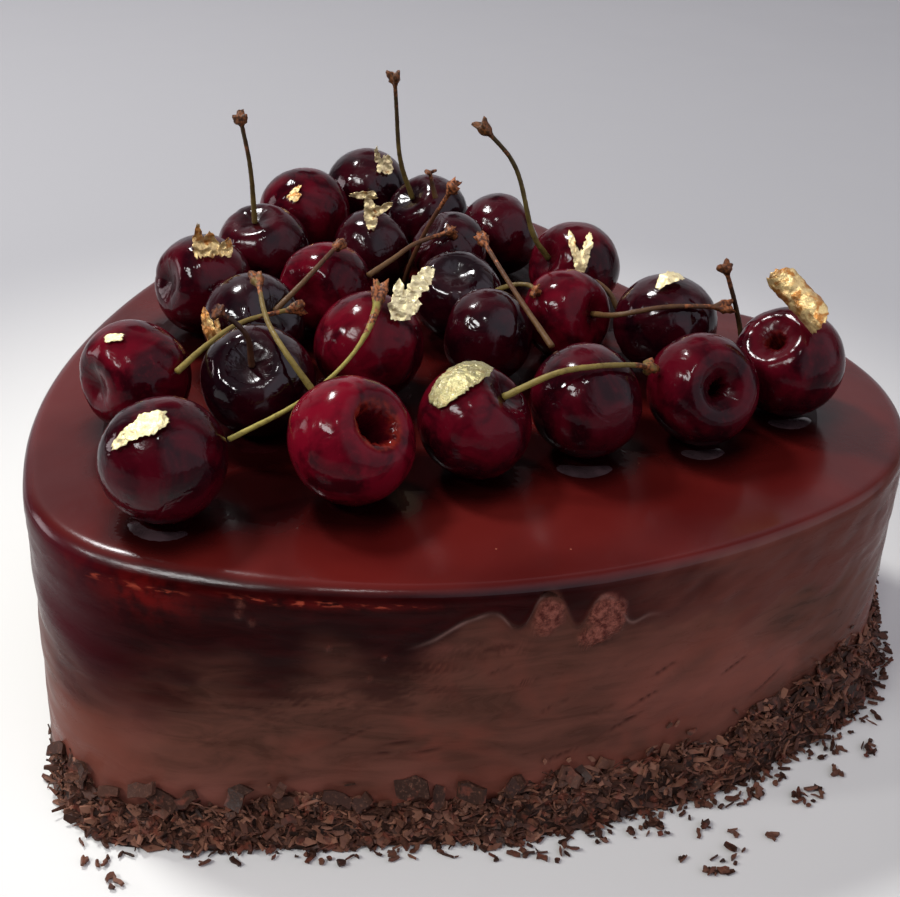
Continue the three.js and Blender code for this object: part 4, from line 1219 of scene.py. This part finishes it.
def gold_leaf(middles):
    for number, (leaf, strips) in enumerate(zip(LEAVES, STRIPS), 1):
        parts = []
        for index, strip in enumerate(strips):
            middle, out = leaf_surface(number, middles, *torn_strip(number, index, strip))
            parts.append(leaf_solid(middle + out * FOIL["over_last"] * index, out))
        points, faces, _ = joined(parts)
        *_, tone, dullness, _ = leaf
        foil = gold(number, tone, dullness)
        made = make(f"gold_leaf_{number:02d}_foil", points, faces, [foil], "gold_leaf")
        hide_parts(f"gold_leaf_{number:02d}")


# ---- the studio ------------------------------------------


def floor():
    turns = [(-1, -1), (1, -1), (1, 1), (-1, 1)]
    corners = [(x * FLOOR_HALF * MM, y * FLOOR_HALF * MM, -FLOOR_GAP * MM) for x, y in turns]
    data = bpy.data.meshes.new("floor")
    data.from_pydata(corners, [], [(0, 1, 2, 3)])
    data.materials.append(floor_with_painted_falloff())
    made = bpy.data.objects.new("floor", data)
    bpy.context.scene.collection.objects.link(made)


def panel(name, direction, distance, size, watts, colour=(1, 1, 1)):
    """A soft light that looks at the cake from this direction, in metres and watts: a disk of one
    size, or a rectangle of two."""
    light = bpy.data.lights.new(name, "AREA")
    light.shape = "RECTANGLE" if isinstance(size, tuple) else "DISK"
    light.size = size[0] if isinstance(size, tuple) else size
    if isinstance(size, tuple):
        light.size_y = size[1]
    light.energy = watts
    light.color = colour
    made = bpy.data.objects.new(name, light)
    away = Vector(direction).normalized()
    made.location = away * distance + Vector((0, 0, HEIGHT * MM))
    made.rotation_euler = away.to_track_quat("Z", "Y").to_euler()
    bpy.context.scene.collection.objects.link(made)


def studio():
    """A soft key from the upper left, two small lamps that draw sparks on the cherries, a window on
    the left, a narrow strip that draws the line along the rim, and a dim sky with pale areas."""
    panel("key", (-0.54, -0.06, 0.84), 1.2, size=0.2, watts=11.5)
    panel("spark", (-0.38, -0.69, 0.62), 1.2, size=0.07, watts=2.2)
    panel("overhead", (0.22, -0.36, 0.9), 1.3, size=0.08, watts=1.4)
    panel("window", (-0.77, -0.6, 0.18), 1.1, size=(0.3, 0.36), watts=2.1, colour=(1.0, 0.83, 0.88))
    panel("strip", (-0.025, -0.707, 0.707), 1.2, size=(0.42, 0.13), watts=6.5)
    world = bpy.data.worlds.new("studio")
    bpy.context.scene.world = world
    world.use_nodes = True
    nodes = Nodes(world.node_tree)
    where = nodes.node("ShaderNodeTexCoord").outputs["Generated"]
    light = SKY_BASE
    for direction, edges, colour in SKY:
        inputs = {0: where, 1: Vector(direction).normalized()}
        facing = nodes.node("ShaderNodeVectorMath", inputs, operation="DOT_PRODUCT").outputs["Value"]
        light = nodes.mix(nodes.span(facing, *edges), light, colour)
    nodes.tree.links.new(light, nodes.tree.nodes["Background"].inputs["Color"])
    bpy.context.scene.view_settings.view_transform = "Standard"


def camera():
    data = bpy.data.cameras.new("camera")
    data.lens = CAMERA_LENS
    data.clip_start = 0.01
    made = bpy.data.objects.new("camera", data)
    looks = CAMERA_LOOKS.normalized() * cos(CAMERA_PITCH) - Vector((0, 0, sin(CAMERA_PITCH)))
    turn = looks.to_track_quat("-Z", "Y") @ Quaternion((0, 0, 1), CAMERA_ROLL)
    made.location = CAMERA_PLACE
    made.rotation_euler = turn.to_euler()
    bpy.context.scene.collection.objects.link(made)
    bpy.context.scene.camera = made


camera()
floor()
studio()
body(glaze("wall_glaze", level=0.05), glaze("top_glaze", level=0.25))
dark_chocolate = chocolate()
shavings(dark_chocolate)
crumbs(dark_chocolate)
fruit = cherries()
puddles(fruit)
stalks(fruit)
gold_leaf(fruit)
